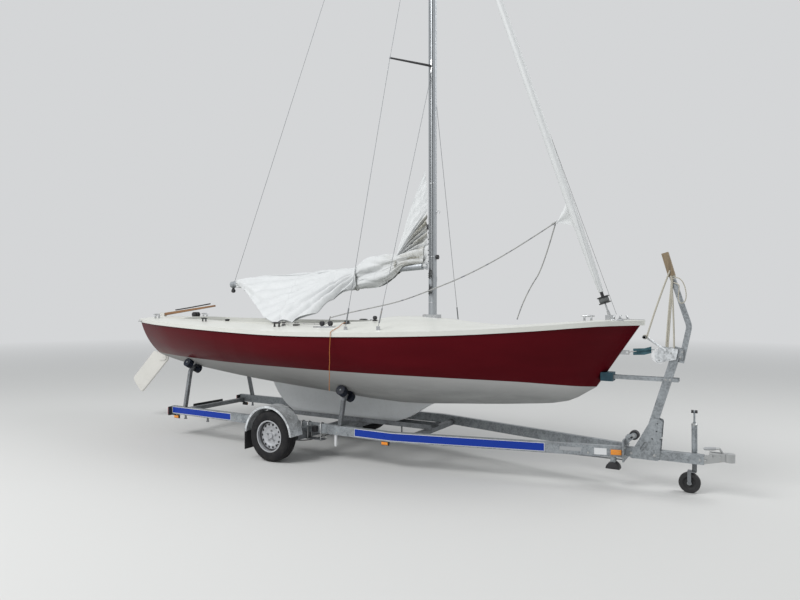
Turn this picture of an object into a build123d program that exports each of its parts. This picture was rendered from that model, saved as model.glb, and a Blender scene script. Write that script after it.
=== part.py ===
import math
import os

from build123d import *

# Open day keelboat standing on its single-axle road trailer, in millimetres.
# Stations run forward from the transom, +Y is the port side and +Z is up.
# The floor is z = 0, and the frame's origin lies under the middle of boat and trailer.

# Whole outfit
MID_STATION = 3240.0          # station that lies over the origin
UPWARD = (Align.CENTER, Align.CENTER, Align.MIN)
DOWNWARD = (Align.CENTER, Align.CENTER, Align.MAX)
SIDES = (("left", 1), ("right", -1))

# Hull and deck, one row per section.
# keel_x, keel_z: lowest point; boot_z, half_boot: turn of the bilge at the boot line;
# sheer_x, sheer_z, half_sheer: top edge; crown_z: deck height on the centre line
HULL_SECTIONS = [
    (50.0, 945.0, 1022.0, 200.0, 0.0, 1440.0, 450.0, 1512.0),
    (480.0, 877.0, 1017.0, 375.0, 440.0, 1424.0, 622.0, 1515.0),
    (950.0, 827.0, 1012.0, 530.0, 900.0, 1410.0, 764.0, 1512.0),
    (1950.0, 735.0, 1008.0, 770.0, 1900.0, 1381.0, 970.0, 1505.0),
    (3000.0, 665.0, 1004.0, 890.0, 3000.0, 1353.0, 1045.0, 1510.0),
    (4000.0, 605.0, 994.0, 850.0, 4100.0, 1366.0, 990.0, 1556.0),
    (4750.0, 645.0, 979.0, 680.0, 4950.0, 1396.0, 810.0, 1466.0),
    (5350.0, 690.0, 955.0, 430.0, 5620.0, 1440.0, 570.0, 1503.0),
    (5780.0, 750.0, 925.0, 215.0, 6120.0, 1483.0, 330.0, 1538.0),
    (6040.0, 900.0, 910.0, 12.0, 6433.0, 1492.0, 15.0, 1541.0),
]
HULL_STEPS = 3                # sections from one row to the next
DECK_LAP = 25.0               # the hull's top runs this far up inside the deck moulding
DECK_OVERHANG = 16.0          # rubbing edge beyond the hull side
DECK_EDGE = 45.0              # height of the rubbing edge
TRANSOM_OVERHANG = 8.0        # deck beyond the transom
BOW_TIP = 40.0                # deck beyond the stem

# Cockpit: station, half width of the opening
COCKPIT_OUTLINE = [(750.0, 390.0), (1900.0, 590.0), (2900.0, 650.0), (3850.0, 590.0)]
FOOTWELL_OUTLINE = [(1400.0, 240.0), (2900.0, 400.0), (3700.0, 400.0)]
COCKPIT_CORNER = 90.0         # rounding of the corners in plan
SEAT_Z = 1150.0
SOLE_Z = 905.0
LINER_WALL = 12.0
LINER_TOP = 1360.0
WELL_TOP = 1700.0             # above every part of the deck
COAMING_WIDTH = 55.0
COAMING_LOW = 1400.0
COAMING_Z = 1478.0

# Keel profile, station and height: aft edge, then the nose from the bottom up to the hull
KEEL_TAIL = [(2010.0, 728.0), (2137.0, 545.0), (2435.0, 340.0)]
KEEL_NOSE = [(3570.0, 340.0), (3877.0, 381.0), (4138.0, 508.0), (4420.0, 640.0)]
KEEL_ROOT = [(4500.0, 800.0), (1900.0, 800.0)]
KEEL_THICKNESS = 120.0
KEEL_EDGE = 24.0              # thickness of its leading and trailing edges

# Rudder
PINTLE_STATION = -35.0        # vertical steering axis
PINTLE_HEIGHTS = (1035.0, 1380.0)
PIN_RADIUS = 5.0
PIN_PLAY = 0.6
GUDGEON_WALL = 6.0
GUDGEON_HEIGHT = 20.0
STRAP = 5.0                   # plate of the pintle straps
RUDDER_HEAD_TOP = 1562.0
RUDDER_HEAD_LOW = 875.0
RUDDER_HEAD_DEPTH = 112.0
RUDDER_HEAD_GAP = 16.0        # head's front face behind the steering axis
RUDDER_CHEEK = 8.0
RUDDER_SLOT_TOP = 1110.0
BLADE_PIVOT = (-60.0, 920.0)
BLADE_BOLT = 6.0
BLADE_KICK = 48.2             # degrees that the blade is swung up at rest
BLADE_LENGTH = 745.0
BLADE_CHORD = 292.0
BLADE_LEAD = 75.0             # leading edge ahead of the pivot
BLADE_THICKNESS = 28.0
BLADE_CLEARANCE = 3.0
BLADE_CORNER = 60.0
TILLER_Z = 1542.0
TILLER_LENGTH = 1000.0
TILLER_RISE = 120.0
TILLER_ROOT = (40.0, 34.0)    # height and width at the head
TILLER_TIP = (24.0, 26.0)

# Mast and standing rigging
MAST_STATION = 4290.0
MAST_STEP_Z = 1525.0
MAST_FOOT_Z = 1572.0
MAST_TOP = 8500.0
MAST_DEPTH = 95.0
MAST_WIDTH = 70.0
LUFF_GROOVE = 8.0
HOUNDS_Z = 6950.0
SPREADER_Z = 4290.0
SPREADER_TIP = (4050.0, 500.0, 4262.0)
SPREADER_RADII = (13.0, 9.0)
LOWER_DROP = 60.0             # lower shroud's top below the spreaders
WIRE = 5.0
SCREW_RADIUS = 7.0            # rigging screw at the foot of each wire
SCREW_LENGTH = 150.0
SCREW_START = 45.0
CHAINPLATE_CAP = (3800.0, 950.0, 1452.0)
CHAINPLATE_LOWER = (4170.0, 925.0, 1460.0)
CHAINPLATE_SIZE = (42.0, 5.0, 60.0)
STEM_EYE = (6318.0, 1238.0)
STAY_FOOT = (6166.0, 1562.0)
STAY_HEAD_Z = 6985.0
STAY_RADIUS = 6.0
# furled jib: height along the stay, radius of the roll
JIB_ROLL = [(1867.0, 26.0), (2060.0, 36.0), (2550.0, 41.0), (4800.0, 37.0), (6700.0, 17.0)]
JIB_CLEW = (5665.0, 2487.0)
JIB_CLEW_HEIGHTS = (2440.0, 2700.0)
JIB_CLEW_THICKNESS = 10.0
FURLER_Z = 1725.0
FURLER_DIAMETER = 115.0
FURLER_CORE = 64.0
FURLER_HEIGHT = 62.0
FURLER_FLANGE = 7.0

# Boom and mainsail
GOOSENECK_GAP = 26.0          # swing axis behind the mast's aft face
GOOSENECK_PIN = 4.0
GOOSENECK_TONGUE = 20.0       # half height of the boom's tongue between the lugs
GOOSENECK_LUG = 12.0          # thickness and radius of the lugs
GOOSENECK_PLAY = 2.0
BOOM_Z = 2105.0
BOOM_END = (1270.0, 1945.0)
BOOM_DIAMETER = 78.0
BOOM_CAP = 60.0               # length of the fitting on its aft end
BOOM_CAP_WALL = 3.0
BOOM_START = 45.0             # tube's fore end behind the swing axis
BOOM_TONGUE = 50.0            # tongue's aft end behind the swing axis
TOPPING_GAP = 120.0           # masthead end of the topping lift aft of the mast
# lowered sail on the boom: station, lower edge, upper edge, half width
SAIL_SECTIONS = [
    (1420.0, 1925.0, 1995.0, 26.0), (1900.0, 1895.0, 2040.0, 74.0), (2500.0, 1895.0, 2072.0, 92.0),
    (3100.0, 1870.0, 2106.0, 96.0), (3420.0, 1885.0, 2180.0, 88.0), (3824.0, 1905.0, 2235.0, 90.0),
    (4060.0, 1960.0, 2300.0, 60.0), (4195.0, 2010.0, 2420.0, 22.0),
]
# corner of the sail that hangs out over the side deck: station, distance down from the boom
SAIL_CORNER = [
    (1425.0, 0.0), (3330.0, 0.0), (3200.0, 520.0), (3130.0, 720.0), (2945.0, 860.0), (2530.0, 835.0),
]
SAIL_CORNER_SLOPE = (655.0, 510.0)   # outward and down
SAIL_CORNER_THICKNESS = 30.0
SAIL_PEAK = [(3840.0, 2230.0), (4150.0, 3177.0), (4198.0, 3177.0), (4200.0, 2250.0)]
SAIL_PEAK_THICKNESS = 24.0

# Trailer frame
RAIL_TOP = 380.0
RAIL_HEIGHT = 100.0
RAIL_WIDTH = 50.0
RAIL_WALL = 4.0
RAIL_REAR = 840.0
RAIL_BEND = 4140.0
RAIL_FRONT = 6297.0
RAIL_HALF_TRACK = 600.0       # centre of the side rail
RAIL_HALF_FRONT = 75.0
CROSS_STATIONS = [900.0, 2050.0, 3400.0, 4260.0]
CROSS_HEIGHT = 50.0
CROSS_WIDTH = 60.0
CHANNEL_WIDTH = 180.0
CHANNEL_LIP = 50.0
CHANNEL_WALL = 8.0
DRAWBAR_SIZE = 80.0
DRAWBAR_WALL = 6.0
DRAWBAR_FRONT = 6960.0
DRAWBAR_DROP = 5.0            # below the rails' middle
FRONT_PLATE = (12.0, 260.0, 200.0)
PLATE_BELOW = 80.0            # plate's lower edge below the drawbar's middle
BRACKET_WALL = 8.0            # roller bracket on the front plate
BRACKET_FOOT = 60.0           # its lowest corner above the drawbar's middle
BRACKET_TOP = 10.0            # its upper corner below the roller's pin
BRACKET_EYE = 25.0
BRACKET_SLOT = (45.0, 50.0, 16.0, 35.0)   # ahead of the plate, length, width, slope in degrees
BOW_ROLLER = (6382.0, 480.0)
BOW_ROLLER_RADIUS = 42.0
BOW_ROLLER_WIDTH = 60.0
BOW_ROLLER_PIN = 8.0
COUPLING_FRONT = 7200.0
COUPLING_BALL_R = 25.5
COUPLING_BALL_DEPTH = 44.0
COUPLING_HEAD_R = 45.0
COUPLING_HEAD_HEIGHT = 70.0
COUPLING_LOW = 328.0
COUPLING_NECK = (25.0, 60.0, 50.0, 30.0)  # behind the ball; width, height, middle above the underside
COUPLING_LEVER = 9.0          # radius of the handle's bar
COUPLING_LEVER_PATH = [(40.0, 50.0), (75.0, 108.0), (190.0, 94.0)]   # behind the ball, above the underside

# Axle and wheels
AXLE_STATION = 2850.0
TYRE_RADIUS = 273.0
TYRE_WIDTH = 157.0
TYRE_BULGE = 50.0             # widest place outside the rim
TYRE_SHOULDER = 22.0          # tread's edge from the widest place
WHEEL_Y = 950.0
RIM_RADIUS = 165.0
RIM_WALL = 8.0
RIM_DISC = 6.0
RIM_HALF = 64.5               # rim's edge from the middle of the wheel
RIM_LIP = 5.0
RIM_DISH_EDGE = 14.0          # dish's face at the barrel, outboard of the wheel's middle
RIM_DISH = [(140.0, 30.0), (108.0, 36.0), (84.0, 26.0)]   # radius and face of the dish
HUB_BACK = 50.0
HUB_FACE = 26.0
HUB_STEP = 32.0               # foot of the hub cap
HUB_END = 46.0
HUB_CAP_TAPER = 6.0
VENT_DEPTH = 60.0
VENT_COUNT = 14
VENT_RADIUS = 9.0
VENT_CIRCLE = 122.0
HUB_RADIUS = 48.0
HUB_CAP_RADIUS = 30.0
STUB_RADIUS = 20.0
STUB_PLAY = 2.0
AXLE_TUBE_STATION = 3020.0
AXLE_TUBE = 70.0
AXLE_HALF = 790.0
ARM_WIDTH = 30.0
ARM_ENDS = (42.0, 32.0)       # radius of the arm at the tube and at the stub axle
BRAKE_FACE = 70.0             # brake drum's face inboard of the wheel's middle
STUB_END = 20.0               # stub axle's end inboard of the wheel's middle
BRAKE_RADIUS = 100.0
MUDGUARD_GAP = 50.0
MUDGUARD_WIDTH = 190.0
MUDGUARD_WALL = 4.0
MUDGUARD_LIP = 20.0
MUDGUARD_LOW = 300.0
MUDGUARD_ARM = 230.0          # bracket arms ahead of and behind the axle
MUDGUARD_ARM_SIZE = (40.0, 6.0)   # width and thickness
MUDGUARD_ARM_LOW = 345.0
MUDGUARD_STAY = 0.68          # height that the arms reach on the arch, as a share of its radius
MUDFLAP = (8.0, 180.0, 225.0)         # thickness, width, height
MUDFLAP_LAP = 30.0            # flap up inside the mudguard

# Hull supports: station and half track of the roller pair, station of the post's foot
SUPPORTS = {"rear": (1050.0, 440.0, 1068.0), "front": (3560.0, 585.0, 3483.0)}
SUPPORT_ROLLER_R = 54.0
SUPPORT_ROLLER_WIDTH = 70.0
SUPPORT_ROLLER_STEP = 78.0    # each roller from the middle of the pair
SUPPORT_ROLLER_SINK = 6.0     # the rubber gives under the hull
SUPPORT_POST = 40.0
SUPPORT_PIN = 10.0
SUPPORT_NECK = 85.0           # from the rollers' middle down to the leaning post

# Winch post, bow stop and mast rest
POST_FOOT = (6450.0, 290.0)
POST_HEAD = (6755.0, 1300.0)
POST_SIZE = 70.0
GUSSET = 6.0
GUSSET_OUTLINE = [(6330.0, 275.0), (6600.0, 275.0), (6630.0, 640.0), (6540.0, 660.0)]
GUSSET_CORNER = 22.0
GUSSET_SLOT = (6470.0, 395.0)
GUSSET_SLOT_SIZE = (90.0, 34.0, 58.0)     # length, width, slope in degrees
GUSSET_HOLES = [(6585.0, 610.0), (6578.0, 540.0), (6610.0, 470.0), (6540.0, 470.0)]
GUSSET_HOLE_R = 7.0
WINCH_CENTRE = (6604.0, 1220.0)
WINCH_PLATE = [(6575.0, 1160.0), (6740.0, 1190.0), (6760.0, 1290.0), (6610.0, 1300.0), (6560.0, 1240.0)]
WINCH_PLATE_Y = 46.0
WINCH_PLATE_WALL = 5.0
WINCH_CORNER = 12.0
WINCH_FLANGE = 66.0
WINCH_FLANGE_WALL = 4.0
WINCH_FLANGE_GAP = 6.0
WINCH_CORE = 28.0
WINCH_SHAFT = (6655.0, 1278.0)   # crank's shaft
CRANK_END = (6493.0, 1391.0)
CRANK_RADII = (10.0, 14.0)    # arm, handle
CRANK_Y = 80.0                # arm from the middle of the winch
CRANK_HANDLE = 96.0
BOW_STOP_BEHIND = 143.0       # rear end of its bars behind the eye in the stem
BOW_STOP_PAST = 5.0           # front end of its bars past the post's head
BOW_STOP_REACH = (STEM_EYE[0] - BOW_STOP_BEHIND, POST_HEAD[0] + BOW_STOP_PAST)
BOW_STOP_Z = 1008.0
BOW_STOP_BAR = 34.0
BOW_STOP_WALL = 6.0
BOW_STOP_GAP = 70.0           # between its two bars, which clasp the post
BOW_STOP_PIN = (20.0, 9.0)    # cross pin behind the bars' front end, radius
BAR_HOLES = (7, 90.0, 60.0, 6.0)          # count, first from the rear end, step, radius
V_BLOCK = (110.0, 130.0, 80.0)
V_BLOCK_LAP = 25.0            # V block's front face ahead of the bars' rear end
MAST_REST_PATH = [(6778.0, 1165.0), (6845.0, 1490.0), (6704.0, 1938.0)]
MAST_REST_TUBE = 45.0
MAST_REST_BEND = 120.0
REST_CLAMP = ((-10.0, 22.0), (30.0, 120.0))   # clamp round its foot: stations and heights from the foot
REST_CLAMP_WALL = 6.0
REST_BLOCK_TOP = (6646.0, 2147.0)
REST_BLOCK_SIZE = 58.0

# Jockey wheel
JOCKEY_STATION = 6876.0
JOCKEY_Y = 78.0
JOCKEY_TUBE = 48.0
JOCKEY_TOP = 608.0
JOCKEY_SPINDLE = (8.0, 118.0) # radius and height above the tube
JOCKEY_GRIP = (12.0, 44.0)    # radius and length of the T handle
JOCKEY_TUBE_LOW = 285.0
JOCKEY_CLAMP = 30.0           # half length and half height of the clamp
JOCKEY_LIFT = 80.0            # travel of the inner tube
JOCKEY_INNER = 40.0
JOCKEY_WHEEL_R = 90.0
JOCKEY_WHEEL_WIDTH = 60.0
JOCKEY_HUB = 42.0
JOCKEY_TRAIL = 40.0
JOCKEY_OVERLAP = 110.0        # inner tube inside the outer tube, wheel on the floor
JOCKEY_SPARE = 10.0           # bore beyond the inner tube's highest place
JOCKEY_PLATE = 6.0
JOCKEY_TOP_GAP = 8.0          # fork's plate above the wheel
JOCKEY_PLATE_END = 17.0       # plate beyond the swivel and the wheel's pin
JOCKEY_CHEEK = 15.0           # half width of the fork's cheeks
JOCKEY_PIN = 8.0
JOCKEY_TREAD = (10.0, 8.0)    # rounding of the tread's edge: across, inward
JOCKEY_SHOULDER = 16.0        # outer ring's inner edge outside the web
JOCKEY_WEB = 12.0             # depth of the web's recess
JOCKEY_BOSS = 22.0
JOCKEY_BORE = 9.0
JOCKEY_SIDE_GAP = 6.0
RUNNING_GAP = 1.0

# Deck fittings: station, distance from the centre line, length, width, height
DECK_FITTINGS = [
    (1760.0, 545.0, 70.0, 60.0, 62.0), (2830.0, 850.0, 95.0, 28.0, 26.0), (2810.0, 735.0, 60.0, 40.0, 36.0),
    (3010.0, 760.0, 46.0, 34.0, 44.0), (3455.0, 860.0, 150.0, 26.0, 22.0), (3640.0, 700.0, 90.0, 26.0, 34.0),
]
MAINSHEET_BLOCKS = (580.0, 3, 36.0, 22.0)   # station, sheaves, radius, width
FITTING_SINK = 12.0

# Free ropes: route points as station, distance to port, height
HANGING_LINE_RADIUS = 3.0
HANGING_LINE = [
    (3640.0, -713.0, 1493.0), (3640.0, -770.0, 1493.0), (3654.0, -845.0, 1459.0), (3668.0, -928.0, 1438.0),
    (3678.0, -985.0, 1427.0), (3684.0, -1020.0, 1419.0), (3687.0, -1053.0, 1406.0), (3690.0, -1058.0, 1362.0),
    (3685.0, -1055.0, 1292.0), (3681.0, -1059.0, 1208.0), (3684.0, -1056.0, 1124.0),
    (3679.0, -1060.0, 1040.0), (3682.0, -1056.0, 958.0), (3677.0, -1059.0, 880.0), (3680.0, -1057.0, 822.0),
]
REST_ROPE_RADIUS = 4.5
REST_ROPE = [
    (6712.0, -22.5, 1908.0), (6712.0, -60.0, 1908.0), (6752.0, -76.0, 1926.0), (6790.0, -68.0, 1900.0),
    (6812.0, -60.0, 1852.0), (6824.0, -56.0, 1796.0), (6826.0, -54.0, 1742.0), (6810.0, -52.0, 1700.0),
    (6780.0, -54.0, 1690.0), (6760.0, -52.0, 1722.0), (6762.0, -54.0, 1774.0), (6770.0, -56.0, 1826.0),
    (6768.0, -66.0, 1862.0), (6722.0, -62.0, 1878.0), (6722.0, -22.5, 1878.0),
]


def at(station):
    """Station along the boat as an X of the frame."""
    return station - MID_STATION


def rod(start, end, radius, mode=Mode.ADD):
    """Straight round bar between two points given as stations."""
    way = Vector(*end) - Vector(*start)
    with Locations(Plane(origin=(at(start[0]), *start[1:]), z_dir=way).location):
        Cylinder(radius, way.length, align=UPWARD, mode=mode)


def bar(start, end, size, mode=Mode.ADD):
    """Straight bar of square section that lies in an upright plane."""
    way = Vector(*end) - Vector(*start)
    flat = (1, 0, 0) if abs(way.X) < 1e-6 else (0, 1, 0)
    with Locations(Plane(origin=(at(start[0]), *start[1:]), x_dir=flat, z_dir=way).location):
        Box(size, size, way.length, align=UPWARD, mode=mode)


def block(stations, y_span, z_span, mode=Mode.ADD):
    """Upright box between two stations, two sides and two heights."""
    spans = ([at(station) for station in stations], y_span, z_span)
    with Locations(tuple(sum(span) / 2 for span in spans)):
        Box(*[abs(span[1] - span[0]) for span in spans], mode=mode)


def pin(station, height, y_span, radius, mode=Mode.ADD):
    """Round bar across the boat."""
    rod((station, y_span[0], height), (station, y_span[1], height), radius, mode)


def write(name, part):
    part.label = name
    export_step(part, "parts/" + name + ".step")


def smooth_rows(rows, steps):
    """The rows with more between each pair, on smooth curves through all of them."""
    def slope(index, column):
        before, after = rows[max(index - 1, 0)], rows[min(index + 1, len(rows) - 1)]
        return (after[column] - before[column]) / (after[0] - before[0])

    dense = []
    for index, (start_row, end_row) in enumerate(zip(rows, rows[1:])):
        span = end_row[0] - start_row[0]
        for step in range(steps):
            t = step / steps
            row = []
            for column, (start, end) in enumerate(zip(start_row, end_row)):
                bend = slope(index, column) * t * (1 - t) ** 2 - slope(index + 1, column) * t * t * (1 - t)
                row.append(start * (1 + 2 * t) * (1 - t) ** 2 + end * t * t * (3 - 2 * t) + span * bend)
            dense.append(tuple(row))
    return dense + [rows[-1]]


HULL_ROWS = smooth_rows(HULL_SECTIONS, HULL_STEPS)


def row_at(station, column):
    """Section's numbers at a station, counted along the keel line (0) or the sheer line (4)."""
    for before, after in zip(HULL_ROWS, HULL_ROWS[1:]):
        if station <= after[column]:
            break
    share = (station - before[column]) / (after[column] - before[column])
    return [low + (high - low) * share for low, high in zip(before, after)]


def deck_height(station, across):
    """Height of the deck moulding's top outside the cockpit."""
    row = row_at(station, 4)
    edge, half = row[5] + DECK_EDGE, row[6] + DECK_OVERHANG
    return edge + (row[7] - edge) * (1 - (across / half) ** 2)


def bilge(station, across):
    """Height and slope of the hull's bottom beside the centre line."""
    row = row_at(station, 0)
    rise = row[2] - row[1]
    radius = (row[3] ** 2 + rise ** 2) / (2 * rise)
    slope = math.asin(across / radius)
    return row[1] + radius * (1 - math.cos(slope)), slope


os.makedirs("parts", exist_ok=True)


# Hull: raked sections from the transom to the stem
with BuildPart() as hull_form:
    for keel_x, keel_z, boot_z, half_boot, sheer_x, sheer_z, half_sheer, crown_z in HULL_ROWS:
        rake = Vector(sheer_x - keel_x, 0, sheer_z - keel_z)
        top = rake.length + DECK_LAP
        up = rake.normalized()
        boot = (boot_z - keel_z) / up.Z
        plane = Plane(origin=(at(keel_x), 0, keel_z), x_dir=(0, 1, 0), z_dir=(up.Z, 0, -up.X))
        with BuildSketch(plane):
            with BuildLine():
                bottom = ThreePointArc((-half_boot, boot), (0, 0), (half_boot, boot))
                port = TangentArc(bottom @ 1, (half_sheer, top), tangent=bottom % 1)
                Line(port @ 1, (-half_sheer, top))
                side = port @ 0.5
                ThreePointArc((-half_sheer, top), (-side.X, side.Y), (-half_boot, boot))
            make_face()
    loft(ruled=True)


# Deck moulding: upright sections over the same sheer, with a rubbing edge
deck_rows = [(row[4], row[6] + DECK_OVERHANG, row[5], row[7]) for row in HULL_ROWS]
deck_rows[0] = (deck_rows[0][0] - TRANSOM_OVERHANG, *deck_rows[0][1:])
deck_rows[-1] = (deck_rows[-1][0] + BOW_TIP, *deck_rows[-1][1:])
with BuildPart() as deck_form:
    for station, half, edge_z, crown_z in deck_rows:
        with BuildSketch(Plane(origin=(at(station), 0, 0), x_dir=(0, 1, 0), z_dir=(1, 0, 0))):
            with BuildLine():
                low = Line((-half, edge_z), (half, edge_z))
                side = Line(low @ 1, (half, edge_z + DECK_EDGE))
                ThreePointArc(side @ 1, (0, crown_z), (-half, edge_z + DECK_EDGE))
                Line((-half, edge_z + DECK_EDGE), low @ 0)
            make_face()
    loft(ruled=True)


def plan_block(outline, margin, low, high):
    """Upright block over a plan outline that is widened by a margin on all sides."""
    first, last = outline[0], outline[-1]
    half = [(first[0] - margin, first[1] + margin)]
    half += [(station, width + margin) for station, width in outline[1:-1]]
    half += [(last[0] + margin, last[1] + margin)]
    port = [(at(station), width) for station, width in half]
    with BuildPart() as prism:
        with BuildSketch(Plane.XY.offset(low)) as plan:
            with BuildLine():
                Polyline(*port, *[(x, -width) for x, width in reversed(port)], close=True)
            make_face()
            fillet(plan.vertices(), COCKPIT_CORNER + margin)
        extrude(amount=high - low)
    return prism.part


well = plan_block(COCKPIT_OUTLINE, 0, SEAT_Z, WELL_TOP)
footwell = plan_block(FOOTWELL_OUTLINE, 0, SOLE_Z, SEAT_Z)
well_cut = plan_block(COCKPIT_OUTLINE, LINER_WALL, SEAT_Z - LINER_WALL, WELL_TOP)
footwell_cut = plan_block(FOOTWELL_OUTLINE, LINER_WALL, SOLE_Z - LINER_WALL, SEAT_Z)
coaming = plan_block(COCKPIT_OUTLINE, COAMING_WIDTH, COAMING_LOW, COAMING_Z)

with BuildPart() as hull:
    add(hull_form.part)
    add(deck_form.part, mode=Mode.SUBTRACT)
    add(well_cut, mode=Mode.SUBTRACT)
    add(footwell_cut, mode=Mode.SUBTRACT)
write("hull", hull.part)

with BuildPart() as deck:
    add(deck_form.part)
    add(coaming)
    add(hull.part, mode=Mode.SUBTRACT)
    add(well, mode=Mode.SUBTRACT)
write("deck", deck.part)

with BuildPart() as cockpit_liner:
    add(well_cut)
    add(footwell_cut)
    add(well, mode=Mode.SUBTRACT)
    add(footwell, mode=Mode.SUBTRACT)
    add(deck.part, mode=Mode.SUBTRACT)
    split(bisect_by=Plane.XY.offset(LINER_TOP), keep=Keep.BOTTOM)
write("cockpit_liner", cockpit_liner.part)

# Keel: a long shallow fin, lens-shaped in plan, that meets the hull's bottom
keel_low = KEEL_TAIL[-1][1]
with BuildPart() as keel:
    tail, nose, root = ([(at(x), z) for x, z in points] for points in (KEEL_TAIL, KEEL_NOSE, KEEL_ROOT))
    with BuildSketch(Plane.XZ):
        with BuildLine():
            ThreePointArc(*tail)
            Line(tail[-1], nose[0])
            curve = ThreePointArc(*nose[:3])
            TangentArc(curve @ 1, nose[3], tangent=curve % 1)
            Polyline(nose[3], *root, tail[0])
        make_face()
    extrude(amount=KEEL_THICKNESS, both=True)
    with BuildSketch(Plane.XY.offset(keel_low)):
        aft_x, fore_x, mid_x = root[1][0], root[0][0], (root[0][0] + root[1][0]) / 2
        with BuildLine():
            port = ThreePointArc((aft_x, KEEL_EDGE / 2), (mid_x, KEEL_THICKNESS / 2), (fore_x, KEEL_EDGE / 2))
            edge = Line(port @ 1, (fore_x, -KEEL_EDGE / 2))
            starboard = ThreePointArc(edge @ 1, (mid_x, -KEEL_THICKNESS / 2), (aft_x, -KEEL_EDGE / 2))
            Line(starboard @ 1, port @ 0)
        make_face()
    extrude(amount=KEEL_ROOT[0][1] - keel_low, mode=Mode.INTERSECT)
    add(hull_form.part, mode=Mode.SUBTRACT)
write("keel", keel.part)

# Rudder: head with two cheeks and the blade's bolt, on pintles that hang in the transom's gudgeons
pivot_x, pivot_z = at(BLADE_PIVOT[0]), BLADE_PIVOT[1]
cheek_y = BLADE_THICKNESS / 2 + BLADE_CLEARANCE
head_y = cheek_y + RUDDER_CHEEK
head_front = PINTLE_STATION - RUDDER_HEAD_GAP
head_back = head_front - RUDDER_HEAD_DEPTH
with BuildPart() as rudder_head:
    block((head_back, head_front), (-head_y, head_y), (RUDDER_HEAD_LOW, RUDDER_HEAD_TOP))
    pin(BLADE_PIVOT[0], pivot_z, (-head_y, head_y), pivot_z - RUDDER_HEAD_LOW)
    fillet(rudder_head.edges().filter_by(Axis.Y).sort_by(Axis.X)[:2], RUDDER_HEAD_GAP)
    slot_reach = (head_back - 1, BLADE_PIVOT[0] + BLADE_LEAD)
    block(slot_reach, (-cheek_y, cheek_y), (RUDDER_HEAD_LOW - 1, RUDDER_SLOT_TOP), mode=Mode.SUBTRACT)
    pin(BLADE_PIVOT[0], pivot_z, (-head_y - STRAP, head_y + STRAP), BLADE_BOLT)
write("rudder_head", rudder_head.part)

with BuildPart() as rudder_blade:
    with BuildSketch(Plane.XZ) as outline:
        with BuildLine():
            Polyline((BLADE_LEAD, 0), (BLADE_LEAD, -BLADE_LENGTH),
                     (BLADE_LEAD - BLADE_CHORD, -BLADE_LENGTH - BLADE_CORNER / 3),
                     (BLADE_LEAD - BLADE_CHORD, -2 * BLADE_CORNER), (-BLADE_LEAD, 0))
            ThreePointArc((-BLADE_LEAD, 0), (0, BLADE_LEAD), (BLADE_LEAD, 0))
        make_face()
        fillet(outline.vertices().sort_by(Axis.Y)[:2], BLADE_CORNER)
        Circle(BLADE_BOLT + PIN_PLAY, mode=Mode.SUBTRACT)
    extrude(amount=BLADE_THICKNESS / 2, both=True)
    chamfer(rudder_blade.edges().filter_by(Axis.Z).sort_by(Axis.X)[:2], BLADE_THICKNESS / 3)
blade_kicked = rudder_blade.part.rotate(Axis.Y, BLADE_KICK).translate((pivot_x, 0, pivot_z))
write("rudder_blade", blade_kicked)

with BuildPart() as rudder_pintles:
    for height in PINTLE_HEIGHTS:
        low = height + GUDGEON_HEIGHT / 2 + PIN_PLAY
        block((head_front, PINTLE_STATION), (-PIN_RADIUS - STRAP, PIN_RADIUS + STRAP), (low, low + STRAP))
        for side in (-1, 1):
            block((head_front - 2 * RUDDER_HEAD_GAP, head_front), (side * head_y, side * (head_y + STRAP)),
                  (low - 2 * STRAP, low + 3 * STRAP))
        block((head_front, head_front + STRAP), (-head_y - STRAP, head_y + STRAP), (low, low + 3 * STRAP))
        with Locations((at(PINTLE_STATION), 0, low + STRAP)):
            Cylinder(PIN_RADIUS, GUDGEON_HEIGHT + 4 * STRAP, align=DOWNWARD)
    add(rudder_head.part, mode=Mode.SUBTRACT)
write("rudder_pintles", rudder_pintles.part)

eye_radius = PIN_RADIUS + GUDGEON_WALL
with BuildPart() as rudder_gudgeons:
    for height in PINTLE_HEIGHTS:
        with Locations((at(PINTLE_STATION), 0, height)):
            Cylinder(eye_radius, GUDGEON_HEIGHT)
        block((PINTLE_STATION, HULL_SECTIONS[0][0]), (-GUDGEON_WALL, GUDGEON_WALL),
              (height - GUDGEON_HEIGHT / 2, height + GUDGEON_HEIGHT / 2))
        with Locations((at(PINTLE_STATION), 0, height)):
            Cylinder(PIN_RADIUS + PIN_PLAY, GUDGEON_HEIGHT, mode=Mode.SUBTRACT)
    add(hull.part, mode=Mode.SUBTRACT)
write("rudder_gudgeons", rudder_gudgeons.part)

with BuildPart() as tiller:
    tip_x, tip_z = head_front + TILLER_LENGTH, TILLER_Z + TILLER_RISE
    for (height, width), station, middle in ((TILLER_ROOT, head_front, TILLER_Z), (TILLER_TIP, tip_x, tip_z)):
        with BuildSketch(Plane(origin=(at(station), 0, middle), x_dir=(0, 1, 0), z_dir=(1, 0, 0))):
            RectangleRounded(width, height, width / 4)
    loft(ruled=True)
write("tiller", tiller.part)

# Mast on its step, with the luff groove and the masthead crane
with BuildPart() as mast_step:
    step_half = 0.8 * MAST_WIDTH
    block((MAST_STATION - MAST_DEPTH, MAST_STATION + 0.8 * MAST_DEPTH), (-step_half, step_half),
          (MAST_STEP_Z, MAST_FOOT_Z))
    add(deck.part, mode=Mode.SUBTRACT)
write("mast_step", mast_step.part)

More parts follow.
